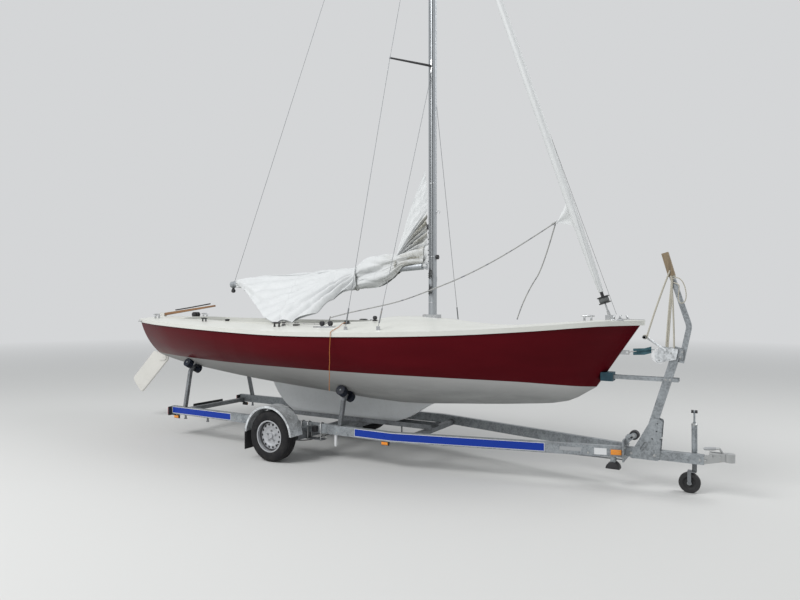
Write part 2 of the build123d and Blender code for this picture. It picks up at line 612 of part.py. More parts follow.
with BuildPart() as mast:
    with BuildSketch(Plane.XY.offset(MAST_FOOT_Z)):
        with Locations((at(MAST_STATION), 0)):
            Ellipse(MAST_DEPTH / 2, MAST_WIDTH / 2)
        with Locations((at(MAST_STATION - MAST_DEPTH / 2), 0)):
            Rectangle(3 * LUFF_GROOVE, LUFF_GROOVE, mode=Mode.SUBTRACT)
    extrude(amount=MAST_TOP - MAST_FOOT_Z)
    block((MAST_STATION - TOPPING_GAP - LUFF_GROOVE, MAST_STATION + MAST_DEPTH / 2 + LUFF_GROOVE),
          (-MAST_WIDTH / 4, MAST_WIDTH / 4), (MAST_TOP, MAST_TOP + 2 * LUFF_GROOVE))
write("mast", mast.part)


# Plates that hold the stays, with the bow fitting and the eye in the stem
with BuildPart() as stay_fittings:
    length, thick, tall = CHAINPLATE_SIZE
    for station, across, height in (CHAINPLATE_CAP, CHAINPLATE_LOWER):
        for side in (-1, 1):
            plate_y = (side * across - thick / 2, side * across + thick / 2)
            block((station - length / 2, station + length / 2), plate_y, (height - tall, height + length / 4))
            pin(station, height, (side * across - 2 * thick, side * across + 2 * thick), thick)
    for side in (-1, 1):
        block((STAY_FOOT[0] - length, STAY_FOOT[0] + length), (side * 2 * thick, side * 3 * thick),
              (STAY_FOOT[1] - length, STAY_FOOT[1] + length / 2))
    pin(STAY_FOOT[0], STAY_FOOT[1], (-4 * thick, 4 * thick), thick)
    block((STAY_FOOT[0] - length, HULL_SECTIONS[-1][4] + BOW_TIP), (-thick, thick),
          (STAY_FOOT[1] - length, HULL_SECTIONS[-1][7] + thick))
    eye_station, eye_z = STEM_EYE
    block((eye_station - 2 * length, eye_station + length / 2), (-thick, thick),
          (eye_z - length / 2, eye_z + length / 2))
    pin(eye_station, eye_z, (-2 * thick, 2 * thick), 2 * thick, mode=Mode.SUBTRACT)
    add(hull.part, mode=Mode.SUBTRACT)
    add(deck.part, mode=Mode.SUBTRACT)
write("stay_fittings", stay_fittings.part)


def wire(points, foot):
    """Stay along straight runs, with its rigging screw above the foot."""
    for start, end in zip(points, points[1:]):
        rod(start, end, WIRE / 2)
    way = (Vector(*points[1]) - Vector(*points[0])).normalized()
    low = Vector(*points[0]) + way * foot
    rod(tuple(low), tuple(low + way * SCREW_LENGTH), SCREW_RADIUS)


for side_name, side in SIDES:
    tip_x, tip_y, tip_z = SPREADER_TIP
    tip = (tip_x, side * tip_y, tip_z)
    root = (MAST_STATION, side * MAST_WIDTH / 4, SPREADER_Z)
    with BuildPart() as spreader:
        way = Vector(*tip) - Vector(*root)
        with Locations(Plane(origin=(at(root[0]), *root[1:]), z_dir=way).location):
            Cone(*SPREADER_RADII, way.length, align=UPWARD)
        add(mast.part, mode=Mode.SUBTRACT)
    write("spreader_" + side_name, spreader.part)
    cap_x, cap_y, cap_z = CHAINPLATE_CAP
    outer = (tip_x, side * (tip_y + WIRE), tip_z)
    with BuildPart() as cap_shroud:
        hounds = (MAST_STATION, side * MAST_WIDTH / 4, HOUNDS_Z)
        wire([(cap_x, side * cap_y, cap_z), outer, hounds], SCREW_START)
        rod((tip_x, outer[1], tip_z - 2 * WIRE), (tip_x, outer[1], tip_z + 2 * WIRE), 1.5 * WIRE)
        for solid in (spreader, mast, stay_fittings):
            add(solid.part, mode=Mode.SUBTRACT)
    write("cap_shroud_" + side_name, cap_shroud.part)
    low_x, low_y, low_z = CHAINPLATE_LOWER
    with BuildPart() as lower_shroud:
        lower_top = (MAST_STATION, side * MAST_WIDTH / 4, SPREADER_Z - LOWER_DROP)
        wire([(low_x, side * low_y, low_z), lower_top], SCREW_START)
        for solid in (mast, stay_fittings):
            add(solid.part, mode=Mode.SUBTRACT)
    write("lower_shroud_" + side_name, lower_shroud.part)

# Forestay with the furled jib, its drum at the foot
stay_foot = Vector(STAY_FOOT[0], 0, STAY_FOOT[1])
stay_head = Vector(MAST_STATION + MAST_DEPTH / 2 - STAY_RADIUS, 0, STAY_HEAD_Z)
stay_way = (stay_head - stay_foot).normalized()


def on_stay(height):
    """Point of the forestay at a height, as a station, a distance to port and a height."""
    share = (height - STAY_FOOT[1]) / (STAY_HEAD_Z - STAY_FOOT[1])
    return tuple(stay_foot + (stay_head - stay_foot) * share)


with BuildPart() as furled_jib:
    for height, radius in JIB_ROLL:
        x, y, z = on_stay(height)
        with BuildSketch(Plane(origin=(at(x), y, z), z_dir=stay_way)):
            Circle(radius)
    loft(ruled=True)
    with BuildSketch(Plane.XZ):
        clew_foot, clew_top = (on_stay(height) for height in JIB_CLEW_HEIGHTS)
        Polygon(*[(at(point[0]), point[-1]) for point in (clew_foot, clew_top, JIB_CLEW)], align=None)
    extrude(amount=JIB_CLEW_THICKNESS / 2, both=True)
write("furled_jib", furled_jib.part)
with BuildPart() as furler_drum:
    low_z, high_z = FURLER_Z - FURLER_HEIGHT / 2, FURLER_Z + FURLER_HEIGHT / 2
    rod(on_stay(low_z), on_stay(high_z), FURLER_CORE / 2)
    rod(on_stay(low_z), on_stay(low_z + FURLER_FLANGE), FURLER_DIAMETER / 2)
    rod(on_stay(high_z - FURLER_FLANGE), on_stay(high_z), FURLER_DIAMETER / 2)
    rod(on_stay(high_z), on_stay(JIB_ROLL[0][0] - FURLER_FLANGE), 2.5 * STAY_RADIUS)
write("furler_drum", furler_drum.part)
with BuildPart() as forestay:
    rod(tuple(stay_foot), tuple(stay_head), STAY_RADIUS)
    for solid in (furled_jib, furler_drum, mast, stay_fittings):
        add(solid.part, mode=Mode.SUBTRACT)
write("forestay", forestay.part)

# Boom on its gooseneck, with the lowered mainsail and the topping lift
swing = MAST_STATION - MAST_DEPTH / 2 - GOOSENECK_GAP
tongue, lug = GOOSENECK_TONGUE, GOOSENECK_LUG
with BuildPart() as gooseneck:
    for low_z in (BOOM_Z - tongue - GOOSENECK_PLAY - lug, BOOM_Z + tongue + GOOSENECK_PLAY):
        block((swing, swing + 2 * GOOSENECK_GAP), (-lug, lug), (low_z, low_z + lug))
        with Locations((at(swing), 0, low_z)):
            Cylinder(lug, lug, align=UPWARD)
    with Locations((at(swing), 0, BOOM_Z)):
        Cylinder(GOOSENECK_PIN, 4 * tongue)
    add(mast.part, mode=Mode.SUBTRACT)
write("gooseneck", gooseneck.part)
with BuildPart() as boom:
    rod((swing - BOOM_START, 0, BOOM_Z), (BOOM_END[0], 0, BOOM_END[1]), BOOM_DIAMETER / 2)
    boom_way = (Vector(BOOM_END[0], 0, BOOM_END[1]) - Vector(swing, 0, BOOM_Z)).normalized()
    cap_start = Vector(BOOM_END[0], 0, BOOM_END[1]) - boom_way * BOOM_CAP
    rod(tuple(cap_start), (BOOM_END[0], 0, BOOM_END[1]), BOOM_DIAMETER / 2 + BOOM_CAP_WALL)
    block((swing - BOOM_TONGUE, swing), (-tongue / 2, tongue / 2), (BOOM_Z - tongue, BOOM_Z + tongue))
    with Locations((at(swing), 0, BOOM_Z)):
        Cylinder(tongue / 2, 2 * tongue)
        Cylinder(GOOSENECK_PIN + PIN_PLAY, 2 * tongue, mode=Mode.SUBTRACT)
write("boom", boom.part)
with BuildPart() as mainsail:
    for station, low_z, high_z, half in SAIL_SECTIONS:
        middle = (at(station), 0, (low_z + high_z) / 2)
        with BuildSketch(Plane(origin=middle, x_dir=(0, 1, 0), z_dir=(1, 0, 0))):
            Ellipse(half, (high_z - low_z) / 2)
    loft(ruled=True)
    along = Vector(swing - BOOM_END[0], 0, BOOM_Z - BOOM_END[1]).normalized()
    down = Vector(0, -SAIL_CORNER_SLOPE[0], -SAIL_CORNER_SLOPE[1]).normalized()
    with BuildSketch(Plane(origin=(at(BOOM_END[0]), 0, BOOM_END[1]), x_dir=along, z_dir=along.cross(down))):
        Polygon(*[((x - BOOM_END[0]) / along.X, drop) for x, drop in SAIL_CORNER], align=None)
    extrude(amount=SAIL_CORNER_THICKNESS / 2, both=True)
    with BuildSketch(Plane.XZ):
        Polygon(*[(at(x), z) for x, z in SAIL_PEAK], align=None)
    extrude(amount=SAIL_PEAK_THICKNESS / 2, both=True)
    add(boom.part, mode=Mode.SUBTRACT)
write("mainsail", mainsail.part)
with BuildPart() as topping_lift:
    crane = (MAST_STATION - TOPPING_GAP, 0, MAST_TOP - WIRE)
    rod((BOOM_END[0] + BOOM_CAP / 2, 0, BOOM_END[1]), crane, WIRE / 2)
    add(boom.part, mode=Mode.SUBTRACT)
    add(mainsail.part, mode=Mode.SUBTRACT)
write("topping_lift", topping_lift.part)

# Fittings on the side decks, mirrored, and the stack of mainsheet blocks on the aft deck
with BuildPart() as deck_fittings:
    for station, across, length, width, height in DECK_FITTINGS:
        base = deck_height(station, across)
        for side in (-1, 1):
            fitting_y = (side * across - width / 2, side * across + width / 2)
            block((station - length / 2, station + length / 2), fitting_y,
                  (base - FITTING_SINK, base + height))
    station, sheaves, radius, width = MAINSHEET_BLOCKS
    for index in range(sheaves):
        middle = (index - (sheaves - 1) / 2) * 1.6 * width
        pin(station, deck_height(station, 0) + 0.7 * radius, (middle - width / 2, middle + width / 2), radius)
    base_y = (-1.6 * width * sheaves / 2, 1.6 * width * sheaves / 2)
    block((station - radius / 2, station + radius / 2), base_y,
          (deck_height(station, 0) - FITTING_SINK, deck_height(station, 0) + radius / 3))
    add(deck.part, mode=Mode.SUBTRACT)
write("deck_fittings", deck_fittings.part)

# Trailer frame: two cranked hollow rails, cross members, keel channel, drawbar and coupling
rail_low = RAIL_TOP - RAIL_HEIGHT
for side_name, side in SIDES:
    with BuildPart() as side_rail:
        for inset, extra, mode in ((0.0, 0.0, Mode.ADD), (RAIL_WALL, 1.0, Mode.SUBTRACT)):
            path = [(RAIL_REAR - extra, RAIL_HALF_TRACK), (RAIL_BEND, RAIL_HALF_TRACK),
                    (RAIL_FRONT + extra, RAIL_HALF_FRONT)]
            half = RAIL_WIDTH / 2 - inset
            outer = [(at(x), side * (y + half)) for x, y in path]
            inner = [(at(x), side * (y - half)) for x, y in reversed(path)]
            with BuildSketch(Plane.XY.offset(rail_low + inset)):
                Polygon(*outer, *inner, align=None)
            extrude(amount=RAIL_HEIGHT - 2 * inset, mode=mode)
    write("side_rail_" + side_name, side_rail.part)


def rail_inner(station):
    """Distance from the centre line to a side rail's inner face."""
    share = max(0.0, (station - RAIL_BEND) / (RAIL_FRONT - RAIL_BEND))
    return RAIL_HALF_TRACK - RAIL_WIDTH / 2 - share * (RAIL_HALF_TRACK - RAIL_HALF_FRONT)


cross_top = rail_low + CROSS_HEIGHT
with BuildPart() as cross_members:
    for station in CROSS_STATIONS:
        ends = (station - CROSS_WIDTH / 2, station + CROSS_WIDTH / 2)
        port = [(at(end), rail_inner(end)) for end in ends]
        with BuildSketch(Plane.XY.offset(rail_low)):
            Polygon(*port, *[(x, -y) for x, y in reversed(port)], align=None)
        extrude(amount=CROSS_HEIGHT)
write("cross_members", cross_members.part)

with BuildPart() as keel_channel:
    ends = (CROSS_STATIONS[1] - CROSS_WIDTH, CROSS_STATIONS[3] + CROSS_WIDTH)
    block(ends, (-CHANNEL_WIDTH / 2, CHANNEL_WIDTH / 2), (cross_top, cross_top + CHANNEL_LIP))
    block((ends[0] - 1, ends[1] + 1), (CHANNEL_WALL - CHANNEL_WIDTH / 2, CHANNEL_WIDTH / 2 - CHANNEL_WALL),
          (keel_low, cross_top + CHANNEL_LIP + 1), mode=Mode.SUBTRACT)
write("keel_channel", keel_channel.part)

drawbar_z = rail_low + RAIL_HEIGHT / 2 - DRAWBAR_DROP
plate_thick, plate_wide, plate_tall = FRONT_PLATE
bar_start = RAIL_FRONT + plate_thick
roller_x, roller_z = BOW_ROLLER
with BuildPart() as front_plate:
    plate_low = drawbar_z - PLATE_BELOW
    block((RAIL_FRONT, bar_start), (-plate_wide / 2, plate_wide / 2), (plate_low, plate_low + plate_tall))
    for side in (-1, 1):
        near_y = BOW_ROLLER_WIDTH / 2 + RUNNING_GAP
        with BuildSketch(Plane.XZ.offset(-side * (near_y + BRACKET_WALL / 2))):
            Polygon((at(bar_start), drawbar_z + BRACKET_FOOT), (at(roller_x), roller_z - BRACKET_EYE),
                    (at(roller_x), roller_z + BRACKET_EYE), (at(bar_start), roller_z - BRACKET_TOP),
                    align=None)
            with Locations((at(roller_x), roller_z)):
                Circle(BRACKET_EYE)
            ahead, slot_long, slot_wide, slope = BRACKET_SLOT
            with Locations((at(bar_start + ahead), roller_z - BRACKET_EYE)):
                SlotOverall(slot_long, slot_wide, rotation=slope, mode=Mode.SUBTRACT)
        extrude(amount=BRACKET_WALL / 2, both=True)
write("front_plate", front_plate.part)

with BuildPart() as drawbar:
    with BuildSketch(Plane(origin=(at(bar_start), 0, drawbar_z), x_dir=(0, 1, 0), z_dir=(1, 0, 0))):
        Rectangle(DRAWBAR_SIZE, DRAWBAR_SIZE)
        Rectangle(DRAWBAR_SIZE - 2 * DRAWBAR_WALL, DRAWBAR_SIZE - 2 * DRAWBAR_WALL, mode=Mode.SUBTRACT)
    extrude(amount=DRAWBAR_FRONT - bar_start)
write("drawbar", drawbar.part)

ball_station = COUPLING_FRONT - COUPLING_HEAD_R
neck = DRAWBAR_SIZE - 2 * DRAWBAR_WALL
behind, neck_wide, neck_tall, neck_rise = COUPLING_NECK
with BuildPart() as coupling:
    fore_end = (ball_station - behind, neck_wide, neck_tall, COUPLING_LOW + neck_rise)
    for station, width, height, middle in ((DRAWBAR_FRONT, neck, neck, drawbar_z), fore_end):
        with BuildSketch(Plane(origin=(at(station), 0, middle), x_dir=(0, 1, 0), z_dir=(1, 0, 0))):
            Rectangle(width, height)
    loft(ruled=True)
    with Locations((at(ball_station), 0, COUPLING_LOW)):
        Cylinder(COUPLING_HEAD_R, COUPLING_HEAD_HEIGHT, align=UPWARD)
        Cylinder(COUPLING_BALL_R, COUPLING_BALL_DEPTH, align=UPWARD, mode=Mode.SUBTRACT)
    lever = [(ball_station - back, 0, COUPLING_LOW + up) for back, up in COUPLING_LEVER_PATH]
    for start, end in zip(lever, lever[1:]):
        rod(start, end, COUPLING_LEVER)
write("coupling", coupling.part)

# Axle tube with its trailing arms, brake drums and stub axles
with BuildPart() as axle:
    axle_z = rail_low - AXLE_TUBE / 2
    block((AXLE_TUBE_STATION - AXLE_TUBE / 2, AXLE_TUBE_STATION + AXLE_TUBE / 2), (-AXLE_HALF, AXLE_HALF),
          (axle_z - AXLE_TUBE / 2, rail_low))
    for side in (-1, 1):
        with BuildSketch(Plane.XZ.offset(-side * (AXLE_HALF - ARM_WIDTH / 2))):
            with BuildLine():
                CenterArc((at(AXLE_TUBE_STATION), axle_z), ARM_ENDS[0], 0, 360)
                CenterArc((at(AXLE_STATION), TYRE_RADIUS), ARM_ENDS[1], 0, 360)
            make_hull()
        extrude(amount=ARM_WIDTH / 2, both=True)
        drum_end = side * (WHEEL_Y - BRAKE_FACE)
        pin(AXLE_STATION, TYRE_RADIUS, (side * AXLE_HALF, drum_end), BRAKE_RADIUS)
        pin(AXLE_STATION, TYRE_RADIUS, (drum_end, side * (WHEEL_Y - STUB_END)), STUB_RADIUS)
write("axle", axle.part)

# Wheels: tyre, and a pressed steel rim with a ring of round vents
with BuildPart() as tyre_form:
    with BuildSketch(Plane.XY):
        half = TYRE_WIDTH / 2
        bulge, shoulder = RIM_RADIUS + TYRE_BULGE, half - TYRE_SHOULDER
        Polygon((RIM_RADIUS, RIM_HALF), (bulge, half), (TYRE_RADIUS, shoulder), (TYRE_RADIUS, -shoulder),
                (bulge, -half), (RIM_RADIUS, -RIM_HALF), align=None)
    revolve(axis=Axis.Y)
with BuildPart() as rim_form:
    with BuildSketch(Plane.XY):
        barrel = RIM_RADIUS - RIM_WALL
        dish = [(barrel, RIM_DISH_EDGE), *RIM_DISH, (HUB_RADIUS, HUB_FACE)]
        back = [(x, y - RIM_DISC) for x, y in reversed(dish)]
        Polygon((RIM_RADIUS, -RIM_HALF), (RIM_RADIUS, RIM_HALF), (RIM_RADIUS + RIM_LIP, RIM_HALF + RIM_LIP),
                (barrel, RIM_HALF + RIM_LIP), *dish, *back, (barrel, -RIM_HALF), align=None)
        bore = STUB_RADIUS + STUB_PLAY
        Polygon((bore, -HUB_BACK), (HUB_RADIUS, -HUB_BACK), (HUB_RADIUS, HUB_FACE),
                (HUB_CAP_RADIUS, HUB_STEP), (HUB_CAP_RADIUS - HUB_CAP_TAPER, HUB_END), (0.0, HUB_END),
                (0.0, HUB_STEP), (bore, HUB_STEP), align=None)
    revolve(axis=Axis.Y)
    with BuildSketch(Plane.XZ.offset(-VENT_DEPTH)):
        with PolarLocations(VENT_CIRCLE, VENT_COUNT):
            Circle(VENT_RADIUS)
    extrude(amount=VENT_DEPTH, mode=Mode.SUBTRACT)

arch_radius = TYRE_RADIUS + MUDGUARD_GAP
arch_outer = arch_radius + MUDGUARD_WALL
guard_inner = WHEEL_Y - MUDGUARD_WIDTH / 2
with BuildPart() as mudguard_form:
    with BuildSketch(Plane.XY):
        half = MUDGUARD_WIDTH / 2
        Polygon((arch_outer, -half), (arch_outer, half), (arch_radius - MUDGUARD_LIP, half),
                (arch_radius - MUDGUARD_LIP, half - MUDGUARD_WALL), (arch_radius, half - MUDGUARD_WALL),
                (arch_radius, MUDGUARD_WALL - half), (arch_radius - MUDGUARD_LIP, MUDGUARD_WALL - half),
                (arch_radius - MUDGUARD_LIP, -half), align=None)
    revolve(axis=Axis.Y)
    split(bisect_by=Plane.XY.offset(MUDGUARD_LOW - TYRE_RADIUS), keep=Keep.TOP)

for side_name, side in SIDES:
    hub = Location((at(AXLE_STATION), side * WHEEL_Y, TYRE_RADIUS))
    outward = Plane(hub) if side > 0 else Plane(hub).rotated((0, 0, 180))
    with BuildPart() as tyre:
        with Locations(outward.location):
            add(tyre_form.part)
    write("tyre_" + side_name, tyre.part)
    with BuildPart() as rim:
        with Locations(outward.location):
            add(rim_form.part)
    write("rim_" + side_name, rim.part)
    with BuildPart() as mudguard:
        with Locations(hub):
            add(mudguard_form.part)
    write("mudguard_" + side_name, mudguard.part)
    with BuildPart() as mudguard_bracket:
        rail_outer = RAIL_HALF_TRACK + RAIL_WIDTH / 2
        arm_wide, arm_thick = MUDGUARD_ARM_SIZE
        arm_low, arm_top = MUDGUARD_ARM_LOW, TYRE_RADIUS + MUDGUARD_STAY * arch_radius
        for step in (-MUDGUARD_ARM, MUDGUARD_ARM):
            arm = (AXLE_STATION + step - arm_wide / 2, AXLE_STATION + step + arm_wide / 2)
            block(arm, (side * rail_outer, side * guard_inner), (arm_low, arm_low + arm_thick))
            block(arm, (side * (guard_inner - arm_thick), side * guard_inner), (arm_low, arm_top))
    write("mudguard_bracket_" + side_name, mudguard_bracket.part)

with BuildPart() as mudflaps:
    flap_thick, flap_wide, flap_tall = MUDFLAP
    flap_front = AXLE_STATION - arch_outer + flap_thick / 2
    for side in (-1, 1):
        flap_y = (side * WHEEL_Y - flap_wide / 2, side * WHEEL_Y + flap_wide / 2)
        block((flap_front - flap_thick, flap_front), flap_y,
              (MUDGUARD_LOW + MUDFLAP_LAP - flap_tall, MUDGUARD_LOW + MUDFLAP_LAP))
        with Locations((at(AXLE_STATION), side * WHEEL_Y, TYRE_RADIUS)):
            add(mudguard_form.part, mode=Mode.SUBTRACT)
write("mudflaps", mudflaps.part)

# Hull supports: leaning post with a pair of rollers, square to the hull's bottom
for place, (station, half_track, foot_station) in SUPPORTS.items():
    height, slope = bilge(station, half_track)
    depth = SUPPORT_ROLLER_R - SUPPORT_ROLLER_SINK
    middle_y, middle_z = half_track + depth * math.sin(slope), height - depth * math.cos(slope)
    with BuildPart() as posts:
        for side in (1, -1):
            foot = Vector(foot_station, side * RAIL_HALF_TRACK, RAIL_TOP)
            middle = Vector(station, side * middle_y, middle_z)
            neck = middle + Vector(0, side * math.sin(slope), -math.cos(slope)) * SUPPORT_NECK
            lean = (neck - foot).normalized()
            bar(tuple(foot - lean * SUPPORT_POST), tuple(neck + lean * SUPPORT_POST / 4), SUPPORT_POST)
            bar(tuple(neck), tuple(middle), SUPPORT_POST)
            pin_half = SUPPORT_ROLLER_STEP + SUPPORT_ROLLER_WIDTH / 2
            along = Vector(0, side * math.cos(slope), math.sin(slope)) * pin_half
            rod(tuple(middle - along), tuple(middle + along), SUPPORT_PIN)
        split(bisect_by=Plane.XY.offset(RAIL_TOP), keep=Keep.TOP)
        add(hull_form.part, mode=Mode.SUBTRACT)
    with BuildPart() as rollers:
        for side in (1, -1):
            along = Vector(0, side * math.cos(slope), math.sin(slope))
            middle = Vector(station, side * middle_y, middle_z)
            for step in (-SUPPORT_ROLLER_STEP, SUPPORT_ROLLER_STEP):
                near = middle + along * (step - SUPPORT_ROLLER_WIDTH / 2)
                rod(tuple(near), tuple(near + along * SUPPORT_ROLLER_WIDTH), SUPPORT_ROLLER_R)
                rod(tuple(near), tuple(near + along * SUPPORT_ROLLER_WIDTH), SUPPORT_PIN, mode=Mode.SUBTRACT)
        add(hull_form.part, mode=Mode.SUBTRACT)
    write("support_posts_" + place, posts.part)
    write("support_rollers_" + place, rollers.part)

# Winch post between its gusset plates, with winch, bow stop and mast rest
with BuildPart() as winch_post:
    bar((POST_FOOT[0], 0, POST_FOOT[1]), (POST_HEAD[0], 0, POST_HEAD[1]), POST_SIZE)
    split(bisect_by=Plane.XY.offset(drawbar_z + DRAWBAR_SIZE / 2), keep=Keep.TOP)
write("winch_post", winch_post.part)
with BuildPart() as gussets:
    for side in (1, -1):
        face = side * (DRAWBAR_SIZE + GUSSET) / 2
        with BuildSketch(Plane.XZ.offset(-face)) as plate:
            Polygon(*[(at(x), z) for x, z in GUSSET_OUTLINE], align=None)
            fillet(plate.vertices(), GUSSET_CORNER)
            slot_long, slot_wide, slope = GUSSET_SLOT_SIZE
            with Locations((at(GUSSET_SLOT[0]), GUSSET_SLOT[1])):
                SlotOverall(slot_long, slot_wide, rotation=slope, mode=Mode.SUBTRACT)
            with Locations(*[(at(x), z) for x, z in GUSSET_HOLES]):
                Circle(GUSSET_HOLE_R, mode=Mode.SUBTRACT)
        extrude(amount=GUSSET / 2, both=True)
write("winch_gussets", gussets.part)
with BuildPart() as winch:
    for side in (1, -1):
        with BuildSketch(Plane.XZ.offset(-side * WINCH_PLATE_Y)) as plate:
            Polygon(*[(at(x), z) for x, z in WINCH_PLATE], align=None)
            fillet(plate.vertices(), WINCH_CORNER)
        extrude(amount=WINCH_PLATE_WALL / 2, both=True)
        flange_y = side * (WINCH_PLATE_Y - WINCH_PLATE_WALL - WINCH_FLANGE_GAP)
        pin(*WINCH_CENTRE, (flange_y, flange_y + side * WINCH_FLANGE_WALL), WINCH_FLANGE)
    pin(*WINCH_CENTRE, (-WINCH_PLATE_Y, WINCH_PLATE_Y), WINCH_CORE)
    arm_radius, handle_radius = CRANK_RADII
    pin(*WINCH_SHAFT, (-CRANK_Y - arm_radius, WINCH_PLATE_Y), arm_radius)
    rod((WINCH_SHAFT[0], -CRANK_Y, WINCH_SHAFT[1]), (CRANK_END[0], -CRANK_Y, CRANK_END[1]), arm_radius)
    pin(*CRANK_END, (-CRANK_Y - CRANK_HANDLE, arm_radius - CRANK_Y), handle_radius)
    add(winch_post.part, mode=Mode.SUBTRACT)
write("winch", winch.part)

with BuildPart() as bow_rubbers:
    v_long, v_wide, v_tall = V_BLOCK
    v_front = BOW_STOP_REACH[0] + V_BLOCK_LAP
    block((v_front - v_long, v_front), (-v_wide / 2, v_wide / 2),
          (BOW_STOP_Z - v_tall / 2, BOW_STOP_Z + v_tall / 2))
    add(hull.part, mode=Mode.SUBTRACT)
    pin(roller_x, roller_z, (-BOW_ROLLER_WIDTH / 2, BOW_ROLLER_WIDTH / 2), BOW_ROLLER_RADIUS)
    pin(roller_x, roller_z, (-near_y, near_y), BOW_ROLLER_PIN)
write("bow_rubbers", bow_rubbers.part)
with BuildPart() as bow_stop:
    for side in (1, -1):
        bar_y = (side * BOW_STOP_GAP / 2, side * (BOW_STOP_GAP / 2 + BOW_STOP_WALL))
        block(BOW_STOP_REACH, bar_y, (BOW_STOP_Z - BOW_STOP_BAR / 2, BOW_STOP_Z + BOW_STOP_BAR / 2))
    pin_behind, pin_radius = BOW_STOP_PIN
    pin(BOW_STOP_REACH[1] - pin_behind, BOW_STOP_Z, (-BOW_STOP_GAP / 2, BOW_STOP_GAP / 2), pin_radius)
    hole_count, hole_first, hole_step, hole_radius = BAR_HOLES
    for index in range(hole_count):
        station = BOW_STOP_REACH[0] + hole_first + index * hole_step
        pin(station, BOW_STOP_Z, (-BOW_STOP_GAP, BOW_STOP_GAP), hole_radius, mode=Mode.SUBTRACT)
    add(winch_post.part, mode=Mode.SUBTRACT)
    add(bow_rubbers.part, mode=Mode.SUBTRACT)
write("bow_stop", bow_stop.part)

rest_top = (MAST_REST_PATH[-1][0], 0, MAST_REST_PATH[-1][1])
with BuildPart() as mast_rest:
    points = [(at(x), 0, z) for x, z in MAST_REST_PATH]
    with BuildLine() as rest_path:
        FilletPolyline(*points, radius=MAST_REST_BEND)
    with BuildSketch(Plane(origin=points[0], x_dir=(0, 1, 0), z_dir=rest_path.line % 0)):
        Rectangle(MAST_REST_TUBE, MAST_REST_TUBE)
    sweep()
    foot_x, foot_z = MAST_REST_PATH[0]
    clamp_y = POST_SIZE / 2 + REST_CLAMP_WALL
    clamp_x, clamp_z = REST_CLAMP
    block([foot_x + shift for shift in clamp_x], (-clamp_y, clamp_y), [foot_z + shift for shift in clamp_z])
    add(winch_post.part, mode=Mode.SUBTRACT)
write("mast_rest", mast_rest.part)
with BuildPart() as mast_rest_block:
    bar(rest_top, (REST_BLOCK_TOP[0], 0, REST_BLOCK_TOP[1]), REST_BLOCK_SIZE)
    add(mast_rest.part, mode=Mode.SUBTRACT)
write("mast_rest_block", mast_rest_block.part)

# Jockey wheel: clamp, outer tube, sliding inner tube, swivelling fork and wheel
jockey_x = at(JOCKEY_STATION)
with BuildPart() as jockey_tube:
    with Locations((jockey_x, JOCKEY_Y, JOCKEY_TUBE_LOW)):
        Cylinder(JOCKEY_TUBE / 2, JOCKEY_TOP - JOCKEY_TUBE_LOW, align=UPWARD)
    block((JOCKEY_STATION - JOCKEY_CLAMP, JOCKEY_STATION + JOCKEY_CLAMP), (DRAWBAR_SIZE / 2, JOCKEY_Y),
          (drawbar_z - JOCKEY_CLAMP, drawbar_z + JOCKEY_CLAMP))
    bore_depth = JOCKEY_OVERLAP + JOCKEY_LIFT + JOCKEY_SPARE
    with Locations((jockey_x, JOCKEY_Y, JOCKEY_TUBE_LOW)):
        Cylinder(JOCKEY_INNER / 2 + RUNNING_GAP, bore_depth, align=UPWARD, mode=Mode.SUBTRACT)
    with Locations((jockey_x, JOCKEY_Y, JOCKEY_TOP)):
        Cylinder(JOCKEY_TUBE / 4, JOCKEY_TUBE / 2, align=UPWARD)
        Cylinder(*JOCKEY_SPINDLE, align=UPWARD)
    grip_radius, grip_long = JOCKEY_GRIP
    grip_z = JOCKEY_TOP + JOCKEY_SPINDLE[1]
    grip_ends = [(JOCKEY_STATION + way * grip_long / 2, JOCKEY_Y, grip_z) for way in (-1, 1)]
    rod(*grip_ends, grip_radius)
write("jockey_tube", jockey_tube.part)
fork_top = 2 * JOCKEY_WHEEL_R + JOCKEY_PLATE + JOCKEY_TOP_GAP
with BuildPart() as jockey_inner:
    with Locations((jockey_x, JOCKEY_Y, fork_top)):
        Cylinder(JOCKEY_INNER / 2, JOCKEY_TUBE_LOW + JOCKEY_OVERLAP - fork_top, align=UPWARD)
write("jockey_inner_tube", jockey_inner.part)
wheel_station = JOCKEY_STATION - JOCKEY_TRAIL
cheek_inner = JOCKEY_WHEEL_WIDTH / 2 + JOCKEY_SIDE_GAP
with BuildPart() as jockey_fork:
    plate_y = cheek_inner + JOCKEY_PLATE
    plate_ends = (wheel_station - JOCKEY_PLATE_END, JOCKEY_STATION + JOCKEY_PLATE_END)
    block(plate_ends, (JOCKEY_Y - plate_y, JOCKEY_Y + plate_y), (fork_top - JOCKEY_PLATE, fork_top))
    for side in (1, -1):
        cheek_y = (JOCKEY_Y + side * cheek_inner, JOCKEY_Y + side * plate_y)
        cheek_ends = (wheel_station - JOCKEY_CHEEK, wheel_station + JOCKEY_CHEEK)
        block(cheek_ends, cheek_y, (JOCKEY_WHEEL_R, fork_top))
        pin(wheel_station, JOCKEY_WHEEL_R, cheek_y, JOCKEY_CHEEK)
    pin(wheel_station, JOCKEY_WHEEL_R, (JOCKEY_Y - plate_y, JOCKEY_Y + plate_y), JOCKEY_PIN)
write("jockey_fork", jockey_fork.part)
